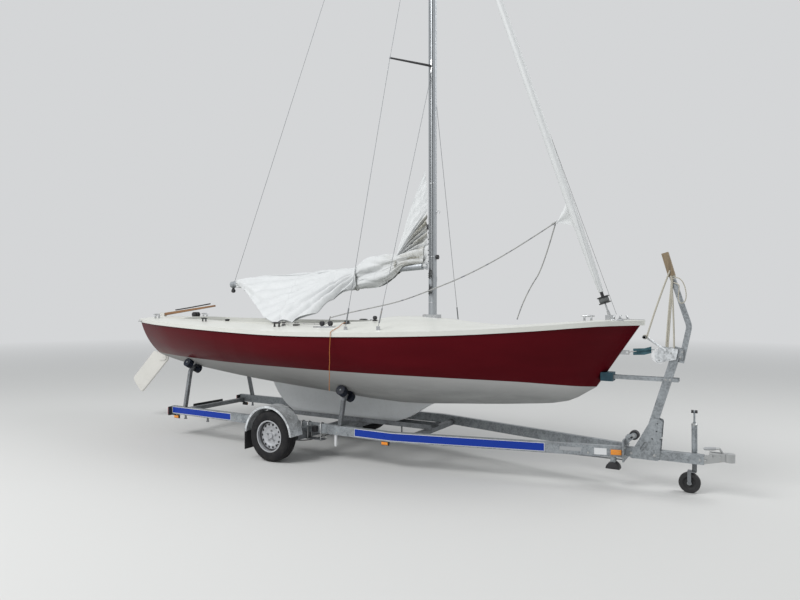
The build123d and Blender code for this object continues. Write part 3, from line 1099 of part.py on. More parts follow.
with BuildPart() as jockey_wheel:
    with Locations((at(wheel_station), JOCKEY_Y, JOCKEY_WHEEL_R)):
        with BuildSketch(Plane.XY):
            half = JOCKEY_WHEEL_WIDTH / 2
            across, inward = JOCKEY_TREAD
            ring, web = JOCKEY_HUB + JOCKEY_SHOULDER, half - JOCKEY_WEB
            section = [(JOCKEY_WHEEL_R, half - across), (JOCKEY_WHEEL_R - inward, half), (ring, half),
                       (JOCKEY_HUB, web), (JOCKEY_BOSS, web), (JOCKEY_BOSS, half), (JOCKEY_BORE, half)]
            Polygon(*section, *[(radius, -y) for radius, y in reversed(section)], align=None)
    revolve(axis=Axis.Y)
wheel_placed = jockey_wheel.part.translate((at(wheel_station), JOCKEY_Y, JOCKEY_WHEEL_R))
write("jockey_wheel", wheel_placed)


def free_rope(name, route, radius):
    """Round rope along straight runs, with the largest arc that fits at each point."""
    points = [Vector(at(x), y, z) for x, y, z in route]
    with BuildPart() as rope:
        with BuildLine() as line:
            here = points[0]
            for before, corner, after in zip(points, points[1:], points[2:]):
                back, onward = before - corner, after - corner
                trim = 0.45 * min(back.length, onward.length)
                start, end = corner + back.normalized() * trim, corner + onward.normalized() * trim
                Line(here, start)
                TangentArc(start, end, tangent=-back)
                here = end
            Line(here, points[-1])
        with BuildSketch(Plane(origin=points[0], z_dir=points[1] - points[0])):
            Circle(radius)
        sweep()
    write(name, rope.part)


# Line that hangs over the deck edge, and the rope that is tied round the mast rest
free_rope("hanging_line", HANGING_LINE, HANGING_LINE_RADIUS)
free_rope("rest_rope", REST_ROPE, REST_ROPE_RADIUS)
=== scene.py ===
import math

import bmesh
import bpy
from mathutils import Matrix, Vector, noise


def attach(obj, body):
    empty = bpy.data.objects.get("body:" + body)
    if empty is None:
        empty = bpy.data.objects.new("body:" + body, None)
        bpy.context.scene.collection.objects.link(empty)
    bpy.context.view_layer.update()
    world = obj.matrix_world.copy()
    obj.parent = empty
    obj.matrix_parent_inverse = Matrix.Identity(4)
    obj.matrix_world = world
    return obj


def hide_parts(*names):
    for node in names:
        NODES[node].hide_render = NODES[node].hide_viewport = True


# Dressing of the open keelboat and its trailer, in metres.
# Stations run forward from the transom; -Y is the side that the camera sees.
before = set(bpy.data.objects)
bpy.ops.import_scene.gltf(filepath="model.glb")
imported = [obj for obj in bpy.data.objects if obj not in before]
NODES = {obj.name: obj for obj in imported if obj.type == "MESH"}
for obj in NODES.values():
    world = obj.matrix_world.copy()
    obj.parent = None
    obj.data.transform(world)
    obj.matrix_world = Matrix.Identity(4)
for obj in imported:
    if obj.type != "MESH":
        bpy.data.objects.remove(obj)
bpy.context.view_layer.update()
MID = 3.240                    # station over the frame's origin
FLOOR_SHADE = (0.60, 0.60, 0.59)
BACK_SHADE = (0.66, 0.67, 0.68)
SKY_SHADE = (0.95, 0.98, 1.0)
SKY_STRENGTH = 0.58
FRAME_BODY = "boat_on_trailer"
SIDES = (("right", -1), ("left", 1))


def at(station):
    return station - MID


def around(middle, half):
    return middle - half, middle + half


def scaled(shade, factor, lift=0.0):
    """Colour made darker or paler, with no channel above 1."""
    return tuple(min(1.0, c * factor + lift) for c in shade)


def new_object(name, data):
    thing = bpy.data.objects.new(name, data)
    bpy.context.scene.collection.objects.link(thing)
    return thing


def sharp_edges(piece, angle):
    """Smooth shading that keeps the edges sharper than an angle, in degrees."""
    piece.data.polygons.foreach_set("use_smooth", [True] * len(piece.data.polygons))
    split = piece.modifiers.new("sharp", "EDGE_SPLIT")
    split.split_angle = math.radians(angle)


# Materials
class Finish:
    """One procedural material, built up node by node."""

    def __init__(self, name, colour=(0.5, 0.5, 0.5), metal=0.0, rough=0.5, coat=0.0):
        self.material = bpy.data.materials.new(name)
        self.material.use_nodes = True
        self.tree = self.material.node_tree
        self.tree.nodes.clear()
        self.surface = self.add("BsdfPrincipled")
        self.out = self.add("OutputMaterial")
        self.feed(self.out.inputs["Surface"], self.surface.outputs[0])
        self.place = self.add("TexCoord").outputs["Object"]
        self.set("Base Color", colour)
        self.set("Metallic", metal)
        self.set("Roughness", rough)
        self.set("Coat Weight", coat)
        self.set("Coat Roughness", 0.06)

    def add(self, kind, inputs=None, **settings):
        node = self.tree.nodes.new("ShaderNode" + kind)
        for key, value in settings.items():
            setattr(node, key, value)
        for key, value in (inputs or {}).items():
            self.feed(node.inputs[key], value)
        return node

    def feed(self, socket, value):
        if isinstance(value, bpy.types.NodeSocket):
            self.tree.links.new(value, socket)
        elif hasattr(value, "__len__") and socket.type == "RGBA" and len(value) == 3:
            socket.default_value = (*value, 1.0)
        else:
            socket.default_value = value

    def set(self, name, value):
        self.feed(self.surface.inputs[name], value)

    def axes(self):
        return self.add("SeparateXYZ", {0: self.place}).outputs

    def stretched(self, stretch, turn=(0, 0, 0)):
        return self.add("Mapping", {"Vector": self.place, "Scale": stretch, "Rotation": turn}).outputs[0]

    def noise(self, scale, detail=4.0, rough=0.55, stretch=(1, 1, 1)):
        where = self.stretched(stretch)
        return self.add("TexNoise",
                        {"Vector": where, "Scale": scale, "Detail": detail,
                         "Roughness": rough}).outputs["Fac"]

    def cells(self, scale, output="Color", stretch=(1, 1, 1)):
        return self.add("TexVoronoi", {"Vector": self.stretched(stretch), "Scale": scale}).outputs[output]

    def math(self, operation, *values):
        return self.add("Math", dict(enumerate(values)), operation=operation).outputs[0]

    def times(self, *values):
        return self.math("MULTIPLY", *values)

    def span(self, value, low, high, to_low=0.0, to_high=1.0):
        return self.add("MapRange", {0: value, 1: low, 2: high, 3: to_low, 4: to_high}).outputs[0]

    def mix(self, share, first, second):
        return self.add("Mix", {0: share, 6: first, 7: second}, data_type="RGBA").outputs[2]

    def curve(self, value, points):
        node = self.add("FloatCurve", {1: value})
        line = node.mapping.curves[0]
        for point in points[1:-1]:
            line.points.new(*point)
        line.points[0].location = points[0]
        line.points[-1].location = points[-1]
        for point in line.points:
            point.handle_type = "AUTO"
        node.mapping.update()
        return node.outputs[0]

    def painted_shade(self, reach):
        """Painted shade from ambient occlusion: darkness of corners and gaps, 0 in the open and 1 deep
        inside.
        """
        shade = self.add("AmbientOcclusion", {"Distance": reach}, samples=6).outputs["AO"]
        return self.math("SUBTRACT", 1.0, shade)

    def bump(self, height, distance, strength=1.0):
        node = self.add("Bump", {"Height": height, "Distance": distance, "Strength": strength})
        before = self.surface.inputs["Normal"].links
        if before:
            self.feed(node.inputs["Normal"], before[0].from_socket)
        self.set("Normal", node.outputs[0])
        return self


BOOT_LINE = [(0.0, 1.008), (1.33, 1.011), (1.96, 1.008), (3.06, 1.005), (3.84, 0.996), (4.69, 0.982),
             (5.29, 0.961), (5.69, 0.935), (6.05, 0.903), (6.44, 0.872)]


def hull_finish():
    """Maroon topsides over a pale grey bottom, parted along the boot line."""
    f = Finish("hull_gelcoat", rough=0.34, coat=0.02)
    f.set("Specular IOR Level", 0.06)
    x, _, z = f.axes()
    low, span, length = 0.85, 0.20, BOOT_LINE[-1][0]
    share = f.span(x, -MID, length - MID)
    line = f.curve(share, [(s / length, (h - low) / span) for s, h in BOOT_LINE])
    above = f.math("SUBTRACT", z, f.span(line, 0.0, 1.0, low, low + span))
    side = f.span(above, -0.0015, 0.0015)
    streak = f.noise(1.6, 3.0, 0.5, (0.5, 1.0, 3.0))
    clouds = f.noise(1.3, 4.0)
    red = f.mix(f.span(streak, 0.35, 0.7), (0.072, 0.0016, 0.0046), (0.092, 0.0024, 0.0062))
    worn = f.times(f.span(x, -1.2, -3.2), f.span(clouds, 0.42, 0.68))
    red = f.mix(f.times(worn, 0.5), red, (0.135, 0.005, 0.010))
    grime = f.times(f.span(above, 0.10, 0.0), f.span(f.noise(9.0, 6.0, 0.7), 0.45, 0.75))
    red = f.mix(f.times(grime, 0.04), red, (0.16, 0.10, 0.09))
    scum = f.span(f.noise(5.0, 6.0, 0.65, (0.6, 1.0, 2.2)), 0.38, 0.72)
    # Grey bottom with patches of scum; the grey is set darker than its paint, as painted shade for the shaded
    # underside.
    grey = f.mix(scum, (0.30, 0.305, 0.30), (0.37, 0.375, 0.37))
    # Painted light and shade: paler just under the boot line, darker further down and darker towards the
    # stern.
    grey = f.mix(f.span(above, -0.16, -0.01), grey, (0.44, 0.44, 0.435))
    grey = f.mix(f.times(f.span(above, -0.25, -0.45), 0.35), grey, (0.27, 0.275, 0.275))
    grey = f.mix(f.times(f.span(x, 1.6, -0.4), 0.5), grey, (0.22, 0.215, 0.205))
    # Painted shade under the deck's overhang: a near-black line along the top of the topsides.
    under = f.times(f.span(f.painted_shade(0.045), 0.22, 0.62), 0.9)
    red = f.mix(under, red, (0.006, 0.004, 0.005))
    f.set("Base Color", f.mix(side, grey, red))
    gloss = f.math("ADD", f.times(side, -0.28), f.times(streak, 0.2))
    f.set("Roughness", f.span(gloss, -0.3, 0.2, 0.2, 0.62))
    f.bump(f.noise(1.6, 2.0, 0.5, (0.5, 0.5, 1.0)), 0.004, 0.35)
    f.bump(f.noise(160.0, 2.0), 0.0002, 0.4)
    return f.material


def deck_finish(name="deck_gelcoat", shade=(0.66, 0.665, 0.625), rough=0.42):
    """Off-white gelcoat that has chalked a little, with specks of dirt and painted shade in its corners."""
    f = Finish(name, rough=rough, coat=0.15)
    clouds = f.span(f.noise(2.2, 5.0, 0.6), 0.35, 0.7)
    tint = f.mix(clouds, shade, scaled(shade, 0.93))
    dirt = f.times(f.span(f.noise(24.0, 6.0, 0.7), 0.5, 0.75), 0.16)
    tint = f.mix(dirt, tint, (0.44, 0.43, 0.38))
    # Painted shade: darker in corners and gaps.
    corner = f.times(f.span(f.painted_shade(0.05), 0.25, 0.8), 0.45)
    f.set("Base Color", f.mix(corner, tint, (0.30, 0.29, 0.25)))
    f.set("Roughness", f.span(clouds, 0.0, 1.0, rough - 0.08, rough + 0.12))
    f.bump(f.noise(240.0, 2.0), 0.0002, 0.3)
    return f.material


def galvanised(name="galvanised", shade=(0.27, 0.29, 0.305), rough=0.5, metal=0.55):
    """Hot-dip galvanised steel: spangles, pale bloom and painted shade in the corners."""
    f = Finish(name, metal=metal, rough=rough)
    spangle = f.add("SeparateColor", {0: f.cells(70.0)}).outputs[0]
    bloom = f.span(f.noise(9.0, 6.0, 0.7), 0.42, 0.66)
    tint = f.mix(spangle, scaled(shade, 0.74), scaled(shade, 1.18))
    tint = f.mix(f.times(bloom, 0.7), tint, scaled(shade, 1.55))
    spots = f.times(f.span(f.noise(30.0, 6.0, 0.75), 0.54, 0.68), 0.65)
    tint = f.mix(spots, tint, scaled(shade, 0.42))
    runs = f.times(f.span(f.noise(14.0, 5.0, 0.7, (1.0, 1.0, 0.25)), 0.56, 0.72), 0.35)
    tint = f.mix(runs, tint, scaled(shade, 0.5))
    # Painted shade: darker in corners and gaps.
    corner = f.times(f.span(f.painted_shade(0.04), 0.25, 0.8), 0.6)
    f.set("Base Color", f.mix(corner, tint, (0.10, 0.095, 0.085)))
    f.set("Roughness", f.span(f.math("ADD", spangle, bloom), 0.0, 2.0, rough - 0.12, rough + 0.16))
    f.bump(spangle, 0.0004, 0.25)
    f.bump(f.noise(60.0, 4.0), 0.0006, 0.3)
    return f.material


def alloy_finish():
    """Grey anodised spar with faint drawing lines and rubbed patches."""
    f = Finish("spar_alloy", metal=0.55, rough=0.42)
    lines = f.noise(60.0, 3.0, 0.5, (1.0, 1.0, 0.02))
    worn = f.span(f.noise(2.5, 5.0, 0.65), 0.4, 0.7)
    tint = f.mix(f.span(lines, 0.3, 0.7), (0.29, 0.31, 0.33), (0.38, 0.40, 0.42))
    f.set("Base Color", f.mix(f.times(worn, 0.3), tint, (0.40, 0.41, 0.42)))
    f.set("Roughness", f.span(worn, 0.0, 1.0, 0.36, 0.52))
    f.bump(lines, 0.0003, 0.3)
    return f.material


def bright_steel(name="stainless", shade=(0.50, 0.51, 0.52), rough=0.26):
    f = Finish(name, metal=0.9, rough=rough)
    scratch = f.noise(90.0, 4.0, 0.6, (1.0, 0.2, 1.0))
    tea = f.times(f.span(f.noise(14.0, 5.0), 0.55, 0.75), 0.3)
    f.set("Base Color", f.mix(tea, shade, (0.33, 0.25, 0.17)))
    f.set("Roughness", f.span(scratch, 0.3, 0.7, rough - 0.06, rough + 0.16))
    f.bump(scratch, 0.0002, 0.3)
    return f.material


def dull_plastic(name, shade, rough=0.55, grain=420.0):
    """Moulded plastic or rubber with fine grain, paler where it is sun-faded and dusty."""
    f = Finish(name, rough=rough)
    dust_and_shade = f.span(f.noise(11.0, 6.0, 0.7), 0.42, 0.75)
    f.set("Base Color", f.mix(f.times(dust_and_shade, 0.35), shade, scaled(shade, 1.5, 0.03)))
    f.set("Roughness", f.span(dust_and_shade, 0.0, 1.0, rough - 0.1, rough + 0.15))
    f.bump(f.noise(grain, 2.0), 0.0003, 0.5)
    return f.material


def tyre_finish():
    f = Finish("tyre_rubber", rough=0.8)
    f.set("Specular IOR Level", 0.25)
    dust_and_shade = f.span(f.noise(16.0, 6.0, 0.7), 0.4, 0.72)
    f.set("Base Color", f.mix(f.times(dust_and_shade, 0.6), (0.012, 0.012, 0.014), (0.040, 0.038, 0.035)))
    f.bump(f.noise(300.0, 3.0), 0.0004, 0.5)
    return f.material


def wheel_paint():
    f = Finish("wheel_silver", metal=0.5, rough=0.36, coat=0.2)
    # Painted shade: the rim darker in its corners and recesses.
    dust_and_shade = f.span(f.painted_shade(0.03), 0.2, 0.8)
    spots = f.times(f.span(f.noise(45.0, 5.0), 0.56, 0.74), 0.4)
    tint = f.mix(spots, (0.46, 0.47, 0.49), (0.30, 0.27, 0.24))
    f.set("Base Color", f.mix(f.times(dust_and_shade, 0.8), tint, (0.06, 0.055, 0.05)))
    f.bump(f.noise(300.0, 2.0), 0.0002, 0.3)
    return f.material


def roller_finish():
    """Near-black rubber, worn to a dark blue tint."""
    f = Finish("roller_rubber", rough=0.6)
    f.set("Specular IOR Level", 0.25)
    wear = f.span(f.noise(20.0, 5.0, 0.7), 0.4, 0.7)
    f.set("Base Color", f.mix(wear, (0.005, 0.007, 0.012), (0.010, 0.016, 0.034)))
    f.set("Roughness", f.span(wear, 0.0, 1.0, 0.4, 0.7))
    f.bump(f.noise(120.0, 3.0), 0.0005, 0.4)
    return f.material


def wood_finish(name, pale, dark, along=(1.0, 1.0, 0.06), coat=0.0):
    f = Finish(name, rough=0.6, coat=coat)
    grain = f.noise(70.0, 6.0, 0.65, along)
    rings = f.noise(9.0, 3.0, 0.5, along)
    tint = f.mix(f.span(grain, 0.3, 0.7), dark, pale)
    f.set("Base Color", f.mix(f.times(f.span(rings, 0.35, 0.7), 0.5), tint, dark))
    f.bump(grain, 0.0008, 0.5)
    return f.material


def sail_finish(name="sailcloth", shade=(0.71, 0.725, 0.73)):
    """Woven sailcloth: seams across the cloth, stains where the attribute asks, light through it."""
    f = Finish(name, rough=0.55)
    stain = f.add("Attribute", attribute_name="stain").outputs["Fac"]
    cloth = f.add("UVMap", uv_map="cloth").outputs[0]
    v = f.add("SeparateXYZ", {0: cloth}).outputs[1]
    panel = f.math("FRACT", f.times(v, 1.0 / 0.72))
    seam = f.times(f.span(f.math("ABSOLUTE", f.math("SUBTRACT", panel, 0.5)), 0.484, 0.496), 0.22)
    clouds = f.span(f.noise(6.0, 5.0, 0.6), 0.35, 0.7)
    tint = f.mix(clouds, shade, scaled(shade, 0.95))
    tint = f.mix(seam, tint, (0.52, 0.53, 0.53))
    mould = f.times(stain, f.span(f.noise(34.0, 6.0, 0.7), 0.36, 0.60))
    tint = f.mix(f.times(stain, 0.42), tint, (0.42, 0.39, 0.29))
    tint = f.mix(f.times(mould, 0.75), tint, (0.12, 0.105, 0.05))
    # Painted shade in the creases and between the layers of cloth.
    tint = f.mix(f.times(f.span(f.painted_shade(0.07), 0.15, 0.8), 0.5), tint, (0.40, 0.41, 0.41))
    f.set("Base Color", tint)
    weave = f.add("TexChecker", {"Vector": cloth, "Scale": 900.0}).outputs["Fac"]
    f.bump(weave, 0.0001, 0.25)
    f.bump(f.noise(24.0, 5.0, 0.6), 0.004, 0.45)
    through = f.add("BsdfTranslucent", {"Color": tint})
    blend = f.add("MixShader", {0: 0.13, 1: f.surface.outputs[0], 2: through.outputs[0]})
    f.feed(f.out.inputs["Surface"], blend.outputs[0])
    return f.material


def rope_finish(name, shade, fleck=None):
    """Braided rope: slanted strands and, if asked, a coloured fleck."""
    f = Finish(name, rough=0.8)
    braid = f.add("TexWave",
                  {"Vector": f.stretched((1, 1, 1), (0.5, 0.6, 0.3)), "Scale": 130.0,
                   "Distortion": 1.5}).outputs["Fac"]
    dirt = f.span(f.noise(22.0, 5.0), 0.4, 0.75)
    # Braid: the grooves between strands darker, as painted shade, and the strands paler.
    tint = f.mix(f.times(f.span(braid, 0.3, 0.9), 0.4), scaled(shade, 0.55), shade)
    if fleck:
        tint = f.mix(f.times(f.span(f.noise(34.0, 2.0), 0.57, 0.63), 0.7), tint, fleck)
    f.set("Base Color", f.mix(f.times(dirt, 0.3), tint, scaled(shade, 0.6)))
    f.bump(braid, 0.0008, 0.7)
    return f.material


def web_finish(name, shade):
    f = Finish(name, rough=0.75)
    weave = f.add("TexWave", {"Vector": f.place, "Scale": 220.0}).outputs["Fac"]
    fade = f.span(f.noise(12.0, 5.0), 0.35, 0.7)
    tint = f.mix(fade, shade, scaled(shade, 1.6, 0.02))
    f.set("Base Color", f.mix(f.times(weave, 0.25), tint, scaled(shade, 0.5)))
    f.bump(weave, 0.0005, 0.6)
    return f.material


def bow_rubber_finish():
    """Teal V block above, black keel roller below."""
    f = Finish("bow_rubber", rough=0.6)
    z = f.axes()[2]
    wear = f.span(f.noise(26.0, 5.0, 0.7), 0.4, 0.72)
    teal = f.mix(wear, (0.004, 0.036, 0.056), (0.010, 0.062, 0.088))
    black = f.mix(wear, (0.012, 0.012, 0.014), (0.036, 0.036, 0.038))
    f.set("Base Color", f.mix(f.span(z, 0.74, 0.76), black, teal))
    f.bump(f.noise(150.0, 3.0), 0.0005, 0.4)
    return f.material


def lens_finish(name, shade):
    """Ribbed coloured lens over a pale reflector."""
    f = Finish(name, rough=0.16, coat=0.8)
    ribs = f.add("TexWave", {"Vector": f.place, "Scale": 90.0}).outputs["Fac"]
    f.set("Base Color", f.mix(ribs, shade, scaled(shade, 1.5)))
    f.set("Subsurface Weight", 0.15)
    f.bump(ribs, 0.001, 0.5)
    return f.material


def film_finish(name, shade, scuff=(0.5, 0.5, 0.5)):
    """Printed reflective film with scuffs and a faint cell pattern."""
    f = Finish(name, rough=0.45, coat=0.05)
    f.set("Specular IOR Level", 0.2)
    scuffs = f.times(f.span(f.noise(26.0, 6.0, 0.75, (0.4, 1, 2)), 0.58, 0.74), 0.35)
    cells = f.times(f.span(f.cells(330.0, "Distance"), 0.3, 0.6), 0.12)
    tint = f.mix(cells, shade, scaled(shade, 1.5, 0.02))
    f.set("Base Color", f.mix(scuffs, tint, scuff))
    f.set("Roughness", f.span(f.noise(8.0, 4.0), 0.3, 0.7, 0.25, 0.5))
    return f.material


SILVER = bright_steel("bright_zinc", (0.46, 0.47, 0.47), 0.34)
ZINC = galvanised()
ZINC_PALE = galvanised("galvanised_sheet", (0.56, 0.58, 0.595), 0.42)
ZINC_DARK = galvanised("galvanised_weathered", (0.19, 0.20, 0.21), 0.6)
STEEL = bright_steel()
WIRE = bright_steel("wire_rope", (0.22, 0.23, 0.24), 0.5)
BLACK = dull_plastic("black_plastic", (0.013, 0.013, 0.015))
RUBBER = dull_plastic("black_rubber", (0.017, 0.017, 0.018), 0.75)
ROLLER = roller_finish()
BLUE_RUBBER = bow_rubber_finish()
CLOTH = sail_finish()
CREAM_ROPE = rope_finish("cream_rope", (0.74, 0.70, 0.59))
WHITE_ROPE = rope_finish("white_rope", (0.70, 0.69, 0.64))
FLECK_ROPE = rope_finish("flecked_rope", (0.60, 0.60, 0.58), (0.10, 0.10, 0.16))
GREY_ROPE = rope_finish("grey_line", (0.20, 0.21, 0.21))
ORANGE_ROPE = rope_finish("orange_line", (0.72, 0.26, 0.05))
HULL = hull_finish()
DECK = deck_finish()
LINER = deck_finish("liner_gelcoat", (0.64, 0.65, 0.62), 0.5)
FOIL = deck_finish("foil_gelcoat", (0.66, 0.65, 0.61), 0.38)
# The keel's grey is paler than the hull's bottom, partly as painted light on the keel's lit sides.
KEEL = deck_finish("keel_paint", (0.74, 0.76, 0.77), 0.5)
ALLOY = alloy_finish()
TILLER = wood_finish("varnished_ash", (0.36, 0.19, 0.07), (0.16, 0.07, 0.025), (0.06, 1, 1), 0.5)
TIMBER = wood_finish("bare_timber", (0.33, 0.25, 0.15), (0.13, 0.095, 0.06))
TYRE = tyre_finish()
RIM = wheel_paint()
AMBER = lens_finish("amber_lens", (0.72, 0.22, 0.01))
RED_LENS = lens_finish("red_lens", (0.45, 0.01, 0.01))
BLUE_FILM = film_finish("blue_film", (0.004, 0.034, 0.30), (0.04, 0.09, 0.34))
WHITE_FILM = film_finish("white_film", (0.70, 0.71, 0.72))
GREY_FILM = film_finish("grey_film", (0.36, 0.37, 0.38))
TEAL_WEB = web_finish("teal_webbing", (0.035, 0.10, 0.125))
GREY_WEB = web_finish("grey_webbing", (0.10, 0.105, 0.11))

def both(*names):
    return [f"{name}_{side}" for name in names for side in ("left", "right")]


NODE_FINISH = {
    HULL: ["hull"], DECK: ["deck"], LINER: ["cockpit_liner"], KEEL: ["keel"],
    FOIL: ["rudder_head", "rudder_blade"], TILLER: ["tiller"], ALLOY: ["mast", "boom"],
    STEEL: ["mast_step", "gooseneck", "rudder_gudgeons", "rudder_pintles", "stay_fittings"],
    BLACK: both("spreader") + ["furler_drum", "deck_fittings"],
    WIRE: both("cap_shroud", "lower_shroud") + ["forestay", "topping_lift"],
    ZINC: both("side_rail", "mudguard_bracket") + ["drawbar", "jockey_tube", "winch_post", "winch_gussets",
                                                   "bow_stop", "mast_rest", "front_plate"],
    ZINC_DARK: ["cross_members", "keel_channel", "axle", "support_posts_front", "support_posts_rear",
                "jockey_inner_tube", "jockey_fork"],
    ZINC_PALE: both("mudguard") + ["winch"], SILVER: ["coupling"], TYRE: both("tyre"), RIM: both("rim"),
    ROLLER: ["support_rollers_front", "support_rollers_rear"], BLUE_RUBBER: ["bow_rubbers"],
    RUBBER: ["jockey_wheel", "mudflaps"], TIMBER: ["mast_rest_block"],
}
for finish, names in NODE_FINISH.items():
    for name in names:
        slots = NODES[name].data.materials
        slots.clear()
        slots.append(finish)


# CAD nodes are shaded smoothly; the fair surfaces keep even their faint edges
WELD_GAP = 0.00002
FAIR_NODES = ("hull", "deck", "keel")
FAIR_ANGLE, NODE_ANGLE = 22.0, 35.0
for name, node in NODES.items():
    weld = node.modifiers.new("weld", "WELD")
    weld.merge_threshold = WELD_GAP
    sharp_edges(node, FAIR_ANGLE if name in FAIR_NODES else NODE_ANGLE)


# Building pieces
def finish_piece(piece, material, body):
    piece.data.materials.append(material)
    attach(piece, body)
    return piece


def mesh_piece(name, points, faces, material, body, smooth=True):
    """Mesh from points given as stations."""
    data = bpy.data.meshes.new(name)
    data.from_pydata([(at(x), y, z) for x, y, z in points], [], faces)
    data.update()
    if smooth:
        data.polygons.foreach_set("use_smooth", [True] * len(data.polygons))
    return finish_piece(new_object(name, data), material, body)


def grid_faces(rows, columns, first=0, closed=False):
    faces = []
    for row in range(rows - 1):
        for column in range(columns - (0 if closed else 1)):
            a = first + row * columns + column
            b = first + row * columns + (column + 1) % columns
            faces.append((a, b, b + columns, a + columns))
    return faces


def line_piece(name, points, radius, material, body=FRAME_BODY, smooth=False):
    """Round line through points given as stations: taut rigging, cables and bars."""
    data = bpy.data.curves.new(name, "CURVE")
    data.dimensions = "3D"
    data.bevel_depth = radius
    data.bevel_resolution = 3
    data.use_fill_caps = True
    spline = data.splines.new("NURBS" if smooth else "POLY")
    spline.points.add(len(points) - 1)
    for point, (x, y, z) in zip(spline.points, points):
        point.co = (at(x), y, z, 1.0)
    if smooth:
        spline.order_u = 3
        spline.use_endpoint_u = True
        data.resolution_u = 8
    return finish_piece(new_object(name, data), material, body)


class Build:
    """Collects solids of one piece in a bmesh, given in stations."""

    def __init__(self):
        self.mesh = bmesh.new()

    def prism(self, outline, push):
        """Flat outline pushed out along a vector."""
        base = [self.mesh.verts.new((at(x), y, z)) for x, y, z in outline]
        top = [self.mesh.verts.new(v.co + Vector(push)) for v in base]
        self.mesh.faces.new(base)
        self.mesh.faces.new(top)
        for i in range(len(base)):
            j = (i + 1) % len(base)
            self.mesh.faces.new((base[i], base[j], top[j], top[i]))
        return self

    def box(self, xs, ys, zs):
        ys = sorted(ys)
        low, high = zs
        return self.prism([(xs[0], ys[0], low), (xs[1], ys[0], low), (xs[1], ys[1], low),
                           (xs[0], ys[1], low)],
                          (0, 0, high - low))

    def turned(self, start, end, profile, sides=24):
        """Round solid from start to end: its radius, or rows of (share of the way, radius)."""
        rows = [(0, profile), (1, profile)] if isinstance(profile, float) else profile
        start, end = Vector((at(start[0]), *start[1:])), Vector((at(end[0]), *end[1:]))
        way = end - start
        turn = way.to_track_quat("Z", "Y").to_matrix()
        rings = []
        for share, radius in rows:
            ring = []
            for side in range(sides):
                angle = 2 * math.pi * side / sides
                spot = turn @ Vector((radius * math.cos(angle), radius * math.sin(angle), 0))
                ring.append(self.mesh.verts.new(start + way * share + spot))
            rings.append(ring)
        for below, above in zip(rings, rings[1:]):
            for i in range(sides):
                j = (i + 1) % sides
                self.mesh.faces.new((below[i], below[j], above[j], above[i]))
        self.mesh.faces.new(rings[0][::-1])
        self.mesh.faces.new(rings[-1])
        return self

    def post(self, x, y, zs, profile, sides=24):
        return self.turned((x, y, zs[0]), (x, y, zs[1]), profile, sides)

    def axle(self, x, ys, z, profile, sides=24):
        return self.turned((x, ys[0], z), (x, ys[1], z), profile, sides)

    def bar(self, xs, y, z, profile, sides=24):
        return self.turned((xs[0], y, z), (xs[1], y, z), profile, sides)

    def bolt(self, spot, way, size):
        """Washer, hexagon head and stud end, along an outward direction."""
        out = Vector(way).normalized()
        spot = Vector(spot)
        step = lambda share: tuple(spot + out * size * share)
        self.turned(step(0.0), step(0.16), 1.15 * size, 16)
        self.turned(step(0.16), step(0.75), [(0, 0.9 * size), (0.8, 0.9 * size), (1, 0.75 * size)], 6)
        return self.turned(step(0.75), step(1.05), [(0, 0.45 * size), (1, 0.4 * size)], 10)

    def done(self, name, material, body=FRAME_BODY, slot=None, edge=0.0, smooth=True):
        bmesh.ops.recalc_face_normals(self.mesh, faces=self.mesh.faces)
        data = bpy.data.meshes.new(name)
        self.mesh.to_mesh(data)
        self.mesh.free()
        piece = new_object(name, data)
        if edge:
            bevel = piece.modifiers.new("edge", "BEVEL")
            bevel.width = edge
            bevel.segments = 2
            bevel.limit_method = "ANGLE"
            bevel.angle_limit = math.radians(35.0)
        if smooth:
            sharp_edges(piece, 40.0)
        return finish_piece(piece, material, body)


def spline_rows(rows, station):
    """Row of a station table at any station, on smooth curves through the rows."""
    index = max(i for i in range(len(rows) - 1) if rows[i][0] <= station or i == 0)
    before, after = rows[max(index - 1, 0)], rows[min(index + 2, len(rows) - 1)]
    start, end = rows[index], rows[index + 1]
    span = end[0] - start[0]
    t = (station - start[0]) / span
    out = []
    for a, b, c, d in zip(before, start, end, after):
        slope_b = (c - a) / (end[0] - before[0])
        slope_c = (d - b) / (after[0] - start[0])
        out.append(b * (1 + 2 * t) * (1 - t) ** 2 + c * t * t * (3 - 2 * t)
                   + span * (slope_b * t * (1 - t) ** 2 - slope_c * t * t * (1 - t)))
    return out


def through(points, share):
    """Point at a share of a smooth path through the points."""
    spot = min(max(share, 0.0), 1.0) * (len(points) - 1)
    i = min(int(spot), len(points) - 2)
    t = spot - i
    a, b, c, d = points[max(i - 1, 0)], points[i], points[i + 1], points[min(i + 2, len(points) - 1)]
    return b + 0.5 * t * ((c - a) + t * ((2 * a - 5 * b + 4 * c - d) + t * (3 * (b - c) + d - a)))


def crumple(spot, size, seed=0.0):
    """Sharp-edged wrinkles, 0 to 1."""
    return abs(noise.noise(Vector(spot) / size + Vector((seed, seed, seed))))


# Mainsail
BOOM_AXIS = ((1.270, 1.945), 0.05514)     # station and height of its end, rise per metre
BOOM_CLEAR = 0.046                        # nearest that cloth lies to the boom's axis
LUFF_STATION = 4.226
TIE_STATIONS = (3.300, 3.850)
TIE = Vector((3.300, -0.070, 2.020))      # where the hanging corner is gathered
